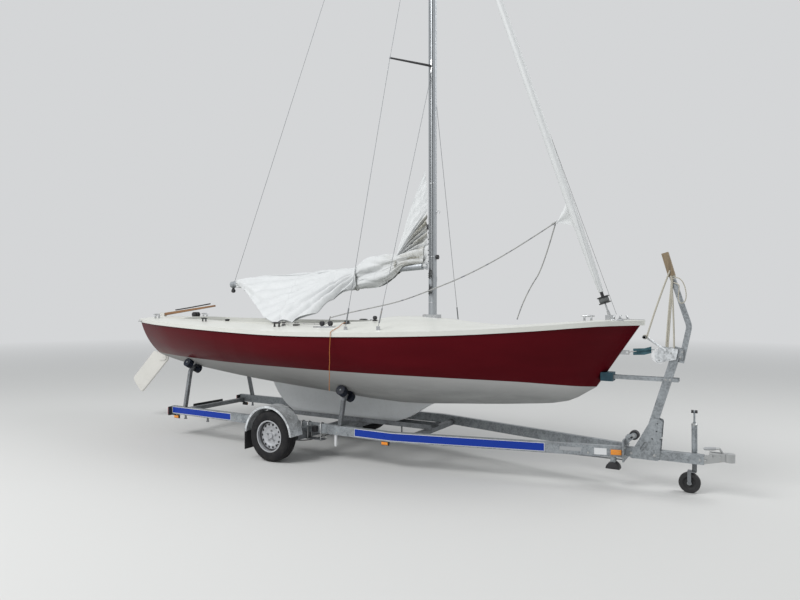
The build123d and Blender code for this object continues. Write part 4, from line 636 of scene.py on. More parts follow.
# pile over the boom: station; lowest edge; valley between its near lobes: height, depth; top; half width
SAIL_PILE = [
    (1.390, 1.905, 1.950, 0.000, 1.992, 0.044), (1.600, 1.885, 1.960, 0.005, 2.014, 0.060),
    (2.000, 1.880, 1.975, 0.012, 2.040, 0.072), (2.400, 1.882, 1.990, 0.018, 2.064, 0.086),
    (2.700, 1.880, 2.000, 0.020, 2.084, 0.092), (3.000, 1.866, 1.990, 0.018, 2.104, 0.094),
    (3.200, 1.845, 1.985, 0.014, 2.106, 0.080), (3.300, 1.850, 1.990, 0.010, 2.126, 0.068),
    (3.400, 1.862, 2.005, 0.030, 2.196, 0.090), (3.600, 1.884, 2.062, 0.036, 2.243, 0.104),
    (3.784, 1.965, 2.125, 0.024, 2.245, 0.086), (3.850, 2.030, 2.145, 0.012, 2.236, 0.068),
    (3.925, 2.088, 2.165, 0.014, 2.262, 0.076), (4.060, 2.112, 2.190, 0.020, 2.300, 0.060),
    (4.190, 2.118, 2.190, 0.008, 2.330, 0.030),
]
# hanging corner: station on the boom; then its free edge as station, side and height
SAIL_HANG = [
    (1.395, 1.405, -0.050, 1.955), (1.620, 1.747, -0.243, 1.850), (1.900, 2.124, -0.462, 1.680),
    (2.250, 2.534, -0.695, 1.500), (2.500, 2.740, -0.705, 1.490), (2.760, 2.942, -0.695, 1.498),
    (2.900, 3.055, -0.650, 1.535), (3.020, 3.140, -0.555, 1.610), (3.100, 3.175, -0.430, 1.710),
    (3.180, 3.235, -0.330, 1.775), (3.250, 3.300, -0.200, 1.830), (3.320, 3.345, -0.105, 1.900),
]
HANG_OUT = Vector((0.0, -0.61, 0.79))     # square to the hanging corner
CREASE = (1.420, 0.050, 0.56)             # fold from the boom's end: station, distance down, slope
FAN_KNOT = Vector((3.845, -0.026, 2.205))
FAN_FOOT = 2.060
FAN_CRUMPLED = (2.42, 2.68)               # heights between which the luff is crumpled
FAN_HEAD = 3.172
OUTER_PILE, OUTER_HANG, FAN_GRID = (104, 230), (90, 190), (170, 40)
INNER_GRID = (40, 90)


def ramp(value, low, high):
    """Smooth step from 0 at low to 1 at high; the two may be in either order."""
    t = min(1.0, max(0.0, (value - low) / (high - low)))
    return t * t * (3.0 - 2.0 * t)


def boom_height(station):
    return BOOM_AXIS[0][1] + (station - BOOM_AXIS[0][0]) * BOOM_AXIS[1]


def ridges(phase, sharp=0.8):
    """Rounded folds with narrow valleys, 0 to 1, one for each whole step of the phase."""
    return abs(math.sin(math.pi * phase)) ** sharp


def pile_point(station, share, layer):
    """Section of the pile from its near lowest edge up, over the boom and down its far side."""
    low, valley, depth, top, half = spline_rows(SAIL_PILE, station)[1:]
    boom = Vector((0, boom_height(station)))
    path = [
        Vector((-half * 0.30, low + 0.004)), Vector((-half * 0.95, 0.62 * low + 0.38 * valley)),
        Vector((-half * 0.98 + depth * 0.2, 0.25 * low + 0.75 * valley)), Vector((-half + depth, valley)),
        Vector((-half * 0.99, 0.62 * valley + 0.38 * top)), Vector((-half * 0.62, top - 0.020)),
        Vector((0.004, top)), Vector((half * 0.66, top - 0.028)), Vector((half, boom.y + 0.010)),
        Vector((half * 0.82, 0.5 * low + 0.5 * boom.y)), Vector((half * 0.24, low + 0.012)),
    ]
    away = through(path, share) - boom
    away *= 1.0 - 0.15 * layer
    if away.length < BOOM_CLEAR:
        away = away.normalized() * BOOM_CLEAR
    return Vector((station, boom.x + away.x, boom.y + away.y))


def pile_folds(spot, share):
    """Outward lift of the pile: long slanting folds that gather at the two ties."""
    near_tie = min(abs(spot.x - tie) for tie in TIE_STATIONS)
    wander = 0.45 * noise.noise(Vector((spot.x * 1.9, 0.0, share * 2.2)))
    slant = share * 6.0 + (spot.x - TIE_STATIONS[0]) * 2.1 + wander
    lift = 0.017 * (ridges(slant, 0.7) - 0.5) * ramp(near_tie, 0.0, 0.12)
    gathers = ridges(share * 15.0 + wander * 2.0) - 0.5
    lift += 0.009 * gathers * ramp(near_tie, 0.26, 0.02)
    lift += 0.018 * (crumple(spot, 0.15) - 0.22) + 0.005 * (crumple(spot, 0.04, 5.0) - 0.2)
    return lift


def hang_point(turn, down, inset):
    """Point of the hanging corner: turn runs along its free edge, down from the boom to that edge."""
    root, *edge = through([Vector(row) for row in SAIL_HANG], turn)
    *_, top, half = spline_rows(SAIL_PILE, root)
    edge = Vector(edge)
    crown = Vector((root, -half * 0.15, top - 0.004))
    shoulder = Vector((root, -half * 0.80, top - 0.022))
    near = Vector((0.86 * root + 0.14 * edge.x, -(half + 0.010), boom_height(root) + 0.006))
    middle = near.lerp(edge, 0.5) + HANG_OUT * 0.012
    return through([crown, shoulder, near, middle, edge], down) - HANG_OUT * inset


def hang_folds(spot, down):
    """Lift of the hanging corner: rolls that spread from the tie, and the turned-over cloth along its top."""
    drop = math.hypot(spot.y, spot.z - boom_height(spot.x))
    back = TIE.x + 0.06 - spot.x
    wander = 2.6 * noise.noise(Vector((spot.x * 1.7, spot.y * 1.7, 3.0)))
    angle = math.degrees(math.atan2(drop, back)) + wander
    reach = math.hypot(back, drop)
    steep = ramp(angle, 36.0, 48.0)
    rolls = ridges((angle - 41.0) / 10.5)
    waves = ridges(angle / 8.6 + 0.3, 0.9)
    lift = steep * 0.054 * (rolls - 0.35) * ramp(reach, 0.04, 0.45)
    lift += (1.0 - steep) * 0.030 * (waves - 0.5) * ramp(reach, 0.1, 1.1) * ramp(angle, 2.0, 9.0)
    crease = CREASE[1] + CREASE[2] * (spot.x - CREASE[0])
    lift += 0.040 * ramp(drop, crease + 0.035, crease - 0.02) * ramp(spot.x, 2.45, 1.95)
    lift += 0.030 * (crumple(spot, 0.21, 1.0) - 0.22) + 0.006 * (crumple(spot, 0.05, 6.0) - 0.2)
    return lift * ramp(down, 0.0, 0.22)


class Cloth:
    """Collects the layers of one sail: points, faces, place on the flat cloth and stain."""

    def __init__(self):
        self.points = []
        self.faces = []
        self.flat = []
        self.stains = []

    def layer(self, rows, columns, place):
        """Grid of points; place gives point, place on the flat cloth and stain from two shares."""
        first = len(self.points)
        for row in range(rows):
            for column in range(columns):
                point, flat, stain = place(row / (rows - 1), column / (columns - 1))
                self.points.append(tuple(point))
                self.flat.append(flat)
                self.stains.append(stain)
        self.faces += grid_faces(rows, columns, first)

    def done(self, name, body):
        piece = mesh_piece(name, self.points, self.faces, CLOTH, body)
        flat = piece.data.uv_layers.new(name="cloth")
        for loop in piece.data.loops:
            flat.data[loop.index].uv = self.flat[loop.vertex_index]
        stain = piece.data.attributes.new("stain", "FLOAT", "POINT")
        stain.data.foreach_set("value", self.stains)
        return piece


def pile_layer(layer):
    start, end = SAIL_PILE[0][0], SAIL_PILE[-1][0]

    def place(share, way):
        station = start + (end - start) * way
        spot = pile_point(station, share, layer)
        out = spot - Vector((station, 0, boom_height(station)))
        lift = pile_folds(spot, share) * (1.0 if layer == 0 else 0.4)
        near_mast = ramp(station, 3.55, 4.05)
        stain = near_mast * min(1.0, max(0.0, 0.45 - 26.0 * lift)) if layer == 0 else near_mast
        return spot + out.normalized() * max(lift, -0.012), (layer + share, station), stain
    return place


def hang_layer(inset, liveliness):
    def place(down, turn):
        spot = hang_point(turn, down, inset)
        lift = hang_folds(spot, down) * liveliness
        return spot + HANG_OUT * lift, (5.0 + down, 1.4 + 2.2 * turn), 0.0
    return place


def fan_layer(share, t):
    """Cloth drawn from the tie to the luff: soft folds low down, crumpled in the middle, plain on top."""
    height = FAN_FOOT + (FAN_HEAD - FAN_FOOT) * share
    low, high = FAN_CRUMPLED
    crumpled = ramp(height, low - 0.08, low + 0.04) * ramp(height, high + 0.03, high - 0.05)
    plain = ramp(height, high - 0.05, high + 0.12)
    wander = 0.5 * noise.noise(Vector((0, 0, height * 8.0)))
    soft = 0.8 - 1.6 * ridges((height - FAN_FOOT) / 0.125 + wander, 0.7)
    sharp = 1.0 - 2.0 * ridges((height - low) / 0.072 + wander, 0.75)
    pleat = soft * (1.0 - crumpled) * (1.0 - plain) * 0.6 + sharp * crumpled
    luff = Vector((LUFF_STATION - 0.028 * ramp(share, 0.75, 1.0), 0.0, height))
    spot = FAN_KNOT.lerp(luff, t)
    spot.z += 0.030 * math.sin(math.pi * t) * (share - 0.35)
    swell = math.sin(math.pi * min(1.0, t ** 1.2)) * 0.040 + 0.016 * t
    rough = 0.012 + 0.060 * crumpled * ramp(t, 0.25, 0.75)
    spot.y += -0.016 * (1 - t) + pleat * swell - 0.020 * plain * math.sin(math.pi * t)
    spot.y += rough * (crumple(spot, 0.062, 2.0) - 0.2) + 0.004 * (crumple(spot, 0.024, 8.0) - 0.2)
    patch = 0.4 + 1.2 * noise.noise(Vector((t * 2.6, 4.0, height * 9.0)))
    stain = crumpled * ramp(t, 0.30, 0.85) * min(1.0, max(0.0, patch + 0.5 * max(0.0, -sharp)))
    stain += 0.16 * (1.0 - plain) * max(0.0, pleat)
    return spot, (7.0 + t, 3.0 + height), stain


def build_sail():
    """Lowered mainsail: cloth flaked over the boom, a corner hanging to the side deck, a fan up the mast."""
    cloth = Cloth()
    cloth.layer(*OUTER_PILE, pile_layer(0))
    for layer in (1, 2, 3):
        cloth.layer(*INNER_GRID, pile_layer(layer))
    cloth.layer(*OUTER_HANG, hang_layer(0.0, 1.0))
    cloth.layer(*INNER_GRID, hang_layer(0.014, 0.7))
    cloth.layer(*FAN_GRID, fan_layer)
    sail = cloth.done("lowered_sail", "boom")
    smooth = sail.modifiers.new("soft", "SMOOTH")
    smooth.factor = 0.3
    smooth.iterations = 2
    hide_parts("mainsail")


build_sail()

# Furled jib
STAY_FOOT = Vector((6.166, 0.0, 1.562))
STAY_HEAD = Vector((4.290 + 0.0475 - 0.006, 0.0, 6.985))
STAY_WAY = (STAY_HEAD - STAY_FOOT).normalized()
# height along the stay, radius of the roll, turns of cloth in it
JIB_ROLL = [(1.800, 0.024, 8.0), (2.060, 0.036, 11.0), (2.550, 0.041, 11.0), (4.800, 0.037, 7.0),
            (6.700, 0.017, 2.0)]
JIB_CLEW = Vector((5.665, -0.006, 2.487))
JIB_CORE = 0.009
CLEW_HEIGHTS = (2.435, 2.715)


def on_stay(height):
    share = (height - STAY_FOOT.z) / (STAY_HEAD.z - STAY_FOOT.z)
    return STAY_FOOT.lerp(STAY_HEAD, share)


def roll_layer(share, way):
    """Spiral of cloth round the stay, its last turn wrinkled."""
    height = JIB_ROLL[0][0] + (JIB_ROLL[-1][0] - JIB_ROLL[0][0]) * share
    _, radius, turns = spline_rows(JIB_ROLL, height)
    side = Vector((0, 1, 0))
    front = side.cross(STAY_WAY).normalized()
    angle = 2 * math.pi * turns * (way - 1.0) + 2.4 + 1.1 * height
    out = front * math.cos(angle) + side * math.sin(angle)
    reach = JIB_CORE + (radius - JIB_CORE) * way
    if way > 0.8:
        ring = crumple((math.cos(angle), math.sin(angle), height * 2.2 + angle * 0.5), 0.9)
        reach += 0.0008 * (ring - 0.25)
    return on_stay(height) + out * reach, (way * turns * 0.16, height * 0.8 + 0.05 * angle), 0.05


def clew_layer(share, way):
    """Corner of the rolled sail that the sheets pull out."""
    spot = on_stay(CLEW_HEIGHTS[0]).lerp(on_stay(CLEW_HEIGHTS[1]), share).lerp(JIB_CLEW, way)
    spot.y += 0.012 * math.sin(math.pi * way) * math.sin(2.0 * math.pi * share)
    spot.y += 0.003 * (crumple(spot, 0.08, 4.0) - 0.2) - 0.012 * (1 - way) * (share - 0.5)
    return spot, (2.2 + way * 0.4, 2.2 + 0.28 * share), 0.10 * (1 - way)


def build_jib():
    """Rolled headsail with its clew corner left out."""
    cloth = Cloth()
    cloth.layer(120, 190, roll_layer)
    cloth.layer(20, 20, clew_layer)
    jib = cloth.done("rolled_jib", FRAME_BODY)
    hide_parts("furled_jib")


build_jib()


# Free cords
def cord_piece(name, route, radius, material, node, slot, **facts):
    """Free rope on a smooth line with the route's points as its control points."""
    piece = line_piece(name, route, radius, material, smooth=True)
    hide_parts(node)
    return piece


HANGING_LINE = [
    (3.640, -0.713, 1.493), (3.640, -0.770, 1.493), (3.654, -0.845, 1.459), (3.668, -0.928, 1.438),
    (3.678, -0.985, 1.427), (3.684, -1.020, 1.419), (3.687, -1.053, 1.406), (3.690, -1.058, 1.362),
    (3.685, -1.055, 1.292), (3.681, -1.059, 1.208), (3.684, -1.056, 1.124), (3.679, -1.060, 1.040),
    (3.682, -1.056, 0.958), (3.677, -1.059, 0.880), (3.680, -1.057, 0.822),
]
REST_ROPE = [
    (6.712, -0.0225, 1.908), (6.712, -0.060, 1.908), (6.752, -0.076, 1.926), (6.790, -0.068, 1.900),
    (6.812, -0.060, 1.852), (6.824, -0.056, 1.796), (6.826, -0.054, 1.742), (6.810, -0.052, 1.700),
    (6.780, -0.054, 1.690), (6.760, -0.052, 1.722), (6.762, -0.054, 1.774), (6.770, -0.056, 1.826),
    (6.768, -0.066, 1.862), (6.722, -0.062, 1.878), (6.722, -0.0225, 1.878),
]
cord_piece("line_over_deck_edge", HANGING_LINE, 0.003, ORANGE_ROPE, "hanging_line", "orange_line",
           length=0.93, far_end="bare")
cord_piece("rope_on_mast_rest", REST_ROPE, 0.0045, CREAM_ROPE, "rest_rope", "white_rope",
           length=0.60, far_end="object")

# Trailer trim
RAIL_FACE = 0.625                         # outer face of the straight rails
RAIL_BEND = 4.140
RAIL_TAPER = 0.2434                       # how fast the front parts close in
RAIL_LOW, RAIL_TOP = 0.280, 0.380


def rail_outer(station):
    return RAIL_FACE - max(0.0, station - RAIL_BEND) * RAIL_TAPER


def rail_band(build, side, start, end, low, high, out, thick):
    """Thin band on a rail's outer face, following its bend."""
    stops = [start] + ([RAIL_BEND] if start < RAIL_BEND < end else []) + [end]
    for a, b in zip(stops, stops[1:]):
        near = [(a, side * (rail_outer(a) + out), low), (b, side * (rail_outer(b) + out), low),
                (b, side * (rail_outer(b) + out), high), (a, side * (rail_outer(a) + out), high)]
        build.prism(near, (0, side * thick, 0))
    return build


FILM = 0.0006
STRIPS = [(0.860, 1.887), (3.684, 5.617)]
STRIP_HEIGHTS = (0.292, 0.372)
STRIP_BORDER = 0.004
LABELS = [("grey_mark", 5.752, 5.939, 0.316, 0.350), ("white_label", 6.053, 6.160, 0.296, 0.356)]


def rail_markings():
    low, high = STRIP_HEIGHTS
    for name, side in SIDES:
        white, blue, grey = Build(), Build(), Build()
        for start, end in STRIPS:
            rail_band(white, side, start, end, low, high, 0.0003, FILM)
            rail_band(blue, side, start + STRIP_BORDER, end - STRIP_BORDER, low + STRIP_BORDER,
                      high - STRIP_BORDER,
                      0.0003, 2 * FILM)
        rail_band(grey, side, *LABELS[0][1:], 0.0003, FILM)
        rail_band(white, side, *LABELS[1][1:], 0.0003, FILM)
        white.done("strip_borders_" + name, WHITE_FILM, smooth=False)
        blue.done("strips_" + name, BLUE_FILM, smooth=False)
        grey.done("rail_mark_" + name, GREY_FILM, smooth=False)
        reflector = rail_band(Build(), side, 6.196, 6.286, 0.302, 0.350, 0.001, 0.007)
        reflector.done("side_reflector_" + name, AMBER, edge=0.0015)


def marker_lamp(name, station, y, z, side):
    """Small side lamp on a rubber base, under the rail."""
    base = Build().box(around(station, 0.045), (side * (y - 0.016), side * y), (z - 0.020, z + 0.022))
    base.box(around(station, 0.012), (side * (y - 0.040), side * (y - 0.016)), (z + 0.005, RAIL_LOW))
    base.done("lamp_base_" + name, RUBBER, edge=0.003)
    lens = Build().box(around(station, 0.038), (side * y, side * (y + 0.014)), (z - 0.014, z + 0.016))
    lens.done("lamp_lens_" + name, AMBER, edge=0.004)


def tail_lamp(name, side):
    """Tail lamp on its bracket, behind a rail."""
    y = side * 0.600
    bracket = Build().box((0.826, 0.844), around(y, 0.070), (0.262, 0.372))
    bracket.box((0.842, 0.880), around(y, 0.020), (0.262, 0.282))
    bracket.done("tail_bracket_" + name, BLACK, edge=0.003)
    lens = Build().box((0.808, 0.828), (y - 0.060, y + 0.020), (0.272, 0.362))
    lens.done("tail_lens_" + name, RED_LENS, edge=0.005)
    amber = Build().box((0.808, 0.828), (y + 0.021, y + 0.062), (0.272, 0.362))
    amber.done("tail_amber_" + name, AMBER, edge=0.005)


def round_path(centre, radius, start, end, steps):
    """Points on an upright arc about a centre, in degrees from the way forward."""
    out = []
    for step in range(steps + 1):
        angle = math.radians(start + (end - start) * step / steps)
        out.append((centre[0] + radius * math.cos(angle), centre[1], centre[2] + radius * math.sin(angle)))
    return out


CLAMPS = (2.975, 3.065, 3.241)            # stations of the U-bolts
GUARD_BOLTS = (2.600, 2.640, 3.060, 3.100)
CROSS_BOLTS = (1.960, 2.060, 3.345, 3.455, 6.000)
CLAMP_LOW = 0.196
PEGS = (1.073, 1.470)
PEG_SIDE = 0.600
ROD_FRONT, ROD_REAR = (6.300, 0.240), (3.300, 0.212)
ROD_RISE = 0.00933


def u_bolts():
    """U-bolts over the rails with their plates and nuts, cable boxes and the rails' own bolts."""
    for name, side in SIDES:
        plates, nuts = Build(), Build()
        for index, station in enumerate(CLAMPS):
            inner, outer = side * (RAIL_FACE - 0.058), side * (RAIL_FACE + 0.006)
            route = [(station, outer, CLAMP_LOW), (station, outer, RAIL_TOP),
                     (station, (inner + outer) / 2, RAIL_TOP + 0.012),
                     (station, inner, RAIL_TOP), (station, inner, CLAMP_LOW)]
            line_piece(f"u_bolt_{name}_{index}", route, 0.0055, SILVER)
            for y in (inner, outer):
                nuts.bolt((station, y, 0.204), (0, 0, -1), 0.010)
        plates.box((2.945, 3.270), (side * (RAIL_FACE - 0.075), side * (RAIL_FACE + 0.020)), (0.204, 0.211))
        plates.done("clamp_plate_" + name, ZINC_DARK, edge=0.002)
        nuts.done("clamp_nuts_" + name, SILVER)
        gusset = Build().box((3.149, 3.205), (side * 0.622, side * 0.668), (0.292, 0.356))
        gusset.done("cable_box_" + name, BLACK, edge=0.004)
        bolts = Build()
        for station in GUARD_BOLTS:
            bolts.bolt((station, side * RAIL_FACE, 0.352), (0, side, 0), 0.008)
        for station in CROSS_BOLTS:
            bolts.bolt((station, side * rail_outer(station), 0.306), (0, side, 0), 0.009)
        bolts.done("rail_bolts_" + name, SILVER)


def rail_pegs():
    """Short tie-down pegs under the rails and the wheel chock in its holder."""
    for name, side in SIDES:
        pegs = Build()
        for station in PEGS:
            pegs.post(station, side * PEG_SIDE, (0.236, RAIL_LOW), 0.013, 14)
            pegs.post(station, side * PEG_SIDE, (0.230, 0.238), 0.020, 14)
        pegs.done("tie_pegs_" + name, ZINC_DARK)
    peg = Build().post(3.426, -0.600, (0.153, RAIL_LOW), [(0, 0.012), (0.1, 0.016), (1, 0.016)], 18)
    peg.done("prop_peg", WHITE_FILM)
    chock = Build()
    chock.prism(round_path((6.212, -0.140, 0.173), 0.063, 0, 180, 12), (0, 0.090, 0))
    chock.done("wheel_chock", BLACK, edge=0.004)
    holder = Build().box((6.190, 6.234), (-0.128, -0.062), (0.232, RAIL_LOW))
    holder.done("chock_holder", ZINC, edge=0.002)


def brake_line():
    """Brake rod, its compensator and the cables to both drums, under the frame."""
    line_piece("brake_rod", [(ROD_FRONT[0], 0.0, ROD_FRONT[1]), (ROD_REAR[0], 0.0, ROD_REAR[1])], 0.006,
               ZINC_DARK)
    hangers = Build()
    for station in (5.600, 4.700, 3.900):
        z = ROD_REAR[1] + (station - ROD_REAR[0]) * ROD_RISE
        hangers.box(around(station, 0.012), (-0.014, 0.014), around(z, 0.012))
        hangers.box(around(station, 0.004), (-0.010, 0.010), (z, 0.330 if station < 4.4 else z + 0.012))
    hangers.done("brake_rod_guides", ZINC_DARK, edge=0.001)
    bar = Build().box((3.285, 3.300), (-0.110, 0.110), (0.190, 0.234))
    bar.done("brake_compensator", ZINC_DARK, edge=0.002)
    for name, side in SIDES:
        route = [(3.285, side * 0.085, 0.212), (3.180, side * 0.100, 0.205), (3.090, side * 0.300, 0.192),
                 (3.080, side * 0.600, 0.178), (2.960, side * 0.780, 0.200), (2.900, side * 0.855, 0.240)]
        line_piece("brake_cable_" + name, route, 0.005, BLACK, smooth=True)


def frame_details():
    rail_markings()
    u_bolts()
    rail_pegs()
    brake_line()
    for name, side in SIDES:
        marker_lamp("rear_" + name, 0.923, 0.612, 0.246, side)
        marker_lamp("mid_" + name, 4.060, 0.618, 0.258, side)
        tail_lamp(name, side)
    plate = Build().box((0.822, 0.832), (-0.260, 0.260), (0.300, 0.352))
    plate.box((0.832, 0.872), (-0.050, 0.050), (0.286, 0.300))
    plate.done("plate_holder", BLACK, edge=0.003)


frame_details()

# Drawbar, winch post and coupling trim
DRAWBAR_HALF = 0.040


def front_bolts():
    """Bolts through gussets, front plate, bow stop, mast rest, winch and drawbar."""
    bolts = Build()
    for side in (-1, 1):
        for station, height in ((6.360, 0.320), (6.560, 0.320)):
            bolts.bolt((station, side * 0.046, height), (0, side, 0), 0.011)
        for station, height in ((6.775, 1.215), (6.790, 1.262), (6.655, 1.008), (6.690, 1.008)):
            bolts.bolt((station, side * 0.041, height), (0, side, 0), 0.009)
        bolts.bolt((6.382, side * 0.044, 0.480), (0, side, 0), 0.012)
        for station, height in ((6.700, 1.250), (6.600, 1.180)):
            bolts.bolt((station, side * 0.0485, height), (0, side, 0), 0.007)
        for along in (0.080, 0.110):
            bolts.bolt((6.309, side * along, 0.300), (1, 0, 0), 0.010)
            bolts.bolt((6.309, side * along, 0.372), (1, 0, 0), 0.010)
    for station in (6.930, 6.975):
        for side in (-1, 1):
            bolts.bolt((station, side * DRAWBAR_HALF, 0.325), (0, side, 0), 0.010)
    bolts.done("frame_bolts", SILVER)


def coupling_details():
    """Pale lever grip, cross pins and the two side bars."""
    grip = Build().turned((7.052, 0, 0.432), (6.955, 0, 0.420),
                          [(0, 0.012), (0.15, 0.015), (0.85, 0.015), (1, 0.010)], 20)
    grip.done("coupling_grip", GREY_FILM)
    pins = Build()
    for station in (7.020, 7.085):
        pins.axle(station, (-0.052, 0.052), 0.366, 0.009, 14)
    pins.box((7.000, 7.150), (-0.030, -0.024), (0.372, 0.398))
    pins.box((7.000, 7.150), (0.024, 0.030), (0.372, 0.398))
    pins.done("coupling_pins", SILVER, edge=0.001)


front_bolts()
coupling_details()

# Wheels
HUB = {name: Vector((2.850, side * 0.950, 0.273)) for name, side in SIDES}
TYRE_PROFILE = [
    (0.168, 0.062), (0.176, 0.069), (0.190, 0.0735), (0.208, 0.0775), (0.228, 0.0785), (0.246, 0.0745),
    (0.258, 0.0675), (0.2655, 0.0590), (0.2700, 0.0490), (0.2715, 0.0400),
]
GROOVES = (-0.033, 0.0, 0.033)
GROOVE_WIDTH = 0.0075
GROOVE_DEPTH = 0.007
TYRE_STEPS = 120
SIPES = 72
NUTS = 5
NUT_CIRCLE = 0.056
VENTS = 14
VENT_CIRCLE = 0.122
VENT_FACE = 0.0334                        # rim's face at the vents, outboard of the wheel's middle
VENT_SLOPE = 0.1875


def ring_mesh(name, profile, spin, centre, side, material, body, node=None):
    """Surface turned about a wheel's axle: profile rows are radius and distance outboard."""
    points = []
    for step in range(spin):
        angle = 2 * math.pi * step / spin
        for radius, out in profile:
            points.append((centre.x + radius * math.cos(angle), centre.y + side * out,
                           centre.z + radius * math.sin(angle)))
    columns = len(profile)
    faces = []
    for step in range(spin):
        a, b = step * columns, (step + 1) % spin * columns
        for i in range(columns):
            j = (i + 1) % columns
            faces.append((a + i, a + j, b + j, b + i) if side > 0 else (a + i, b + i, b + j, a + j))
    piece = mesh_piece(name, points, faces, material, body)
    sharp_edges(piece, 42.0)
    if node:
        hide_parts(node)
    return piece


def tyre_piece(name, side):
    tread = []
    for middle in GROOVES:
        crown = 0.2725 - 0.6 * middle ** 2
        low, high = around(middle, GROOVE_WIDTH / 2)
        tread += [(crown, low), (crown - GROOVE_DEPTH, low + 0.0012), (crown - GROOVE_DEPTH, high - 0.0012),
                  (crown, high)]
    back = [(radius, -out) for radius, out in TYRE_PROFILE]
    profile = back + tread + TYRE_PROFILE[::-1] + [(0.166, 0.0)]
    tyre = ring_mesh("road_tyre_" + name, profile, TYRE_STEPS, HUB[name], side, TYRE, "wheel_" + name,
                     "tyre_" + name)
    sipes = Build()
    for step in range(SIPES):
        angle = 2 * math.pi * step / SIPES
        for edge in (-1, 1):
            along = Vector((math.cos(angle), 0, math.sin(angle)))
            round_way = Vector((-math.sin(angle), 0, math.cos(angle)))
            start = HUB[name] + along * 0.2690 + Vector((0, edge * 0.0420, 0)) - round_way * 0.0016
            corners = [start, start + Vector((0, edge * 0.022, 0)) - along * 0.0085,
                       start + Vector((0, edge * 0.022, 0)) - along * 0.0105, start - along * 0.004]
            sipes.prism([tuple(corner) for corner in corners], tuple(round_way * 0.0032))
    sipes.done("tyre_sipes_" + name, RUBBER, "wheel_" + name, smooth=False)
    return tyre


def rim_details(name, side):
    hub = HUB[name]
    nuts = Build()
    for step in range(NUTS):
        angle = math.radians(90 + 360 / NUTS * step)
        spot = (hub.x + NUT_CIRCLE * math.cos(angle), hub.y + side * 0.026,
                hub.z + NUT_CIRCLE * math.sin(angle))
        nuts.turned(spot, (spot[0], spot[1] + side * 0.004, spot[2]), [(0, 0.012), (1, 0.011)], 16)
        nuts.axle(spot[0], (spot[1] + side * 0.004, spot[1] + side * 0.020), spot[2],
                  [(0, 0.0095), (0.75, 0.0095), (1, 0.0075)], 6)
    nuts.done("wheel_nuts_" + name, STEEL, "wheel_" + name)
    # Rings round the vents, where the rim is pressed in, coloured black: painted shade that makes the vents
    # look dark and wide.
    shade_wells = Build()
    for step in range(VENTS):
        angle = 2 * math.pi * step / VENTS
        along = Vector((math.cos(angle), 0, math.sin(angle)))
        out = (along * VENT_SLOPE + Vector((0, side, 0))).normalized()
        face = hub + along * VENT_CIRCLE + Vector((0, side * VENT_FACE, 0))
        shade_wells.turned(tuple(face - out * 0.004), tuple(face + out * 0.0006), [(0, 0.0125), (1, 0.0135)], 18)
    shade_wells.done("vent_wells_" + name, BLACK, "wheel_" + name)
    angle = math.radians(-35)
    foot = (hub.x + 0.147 * math.cos(angle), hub.y + side * 0.030, hub.z + 0.147 * math.sin(angle))
    tip = (hub.x + 0.132 * math.cos(angle), hub.y + side * 0.058, hub.z + 0.132 * math.sin(angle))
    valve = Build().turned(foot, tip,
                           [(0, 0.0065), (0.3, 0.006), (0.65, 0.004), (0.66, 0.0048), (1, 0.0044)], 12)
    valve.done("tyre_valve_" + name, BLACK, "wheel_" + name)
    # Dark disc behind the rim: painted shade that shows through the vents.
    dust_and_shade = Build().axle(hub.x, (hub.y - side * 0.012, hub.y - side * 0.006), hub.z, 0.150, 48)
    dust_and_shade.done("wheel_shadow_" + name, RUBBER, "wheel_" + name)


for name, side in SIDES:
    tyre_piece(name, side)
    rim_details(name, side)


# Bow, winch and jockey trim
STRAP_WIDTH = 0.046
STRAP_THICK = 0.002
JOCKEY_STATION = 6.876
STRAND_RADIUS = 0.0075
WINCH = (6.604, 1.220)                    # station and height of the drum's axle
CRANK = (6.493, 1.391)                    # station and height of the crank's grip
JOCKEY = (JOCKEY_STATION, 0.078)                   # station and side of the jockey tube


def ribbon(name, points, width, thick, material, across=(0, 1, 0)):
    """Flat strap through points given as stations, its width along one direction."""
    build = Build()
    side = Vector(across) * width / 2
    for start, end in zip(points, points[1:]):
        start, end = Vector(start), Vector(end)
        lift = (end - start).cross(Vector(across)).normalized() * thick
        corners = [start - side, start + side, end + side, end - side]
        build.prism([tuple(corner) for corner in corners], tuple(lift))
    return build.done(name, material, smooth=False)


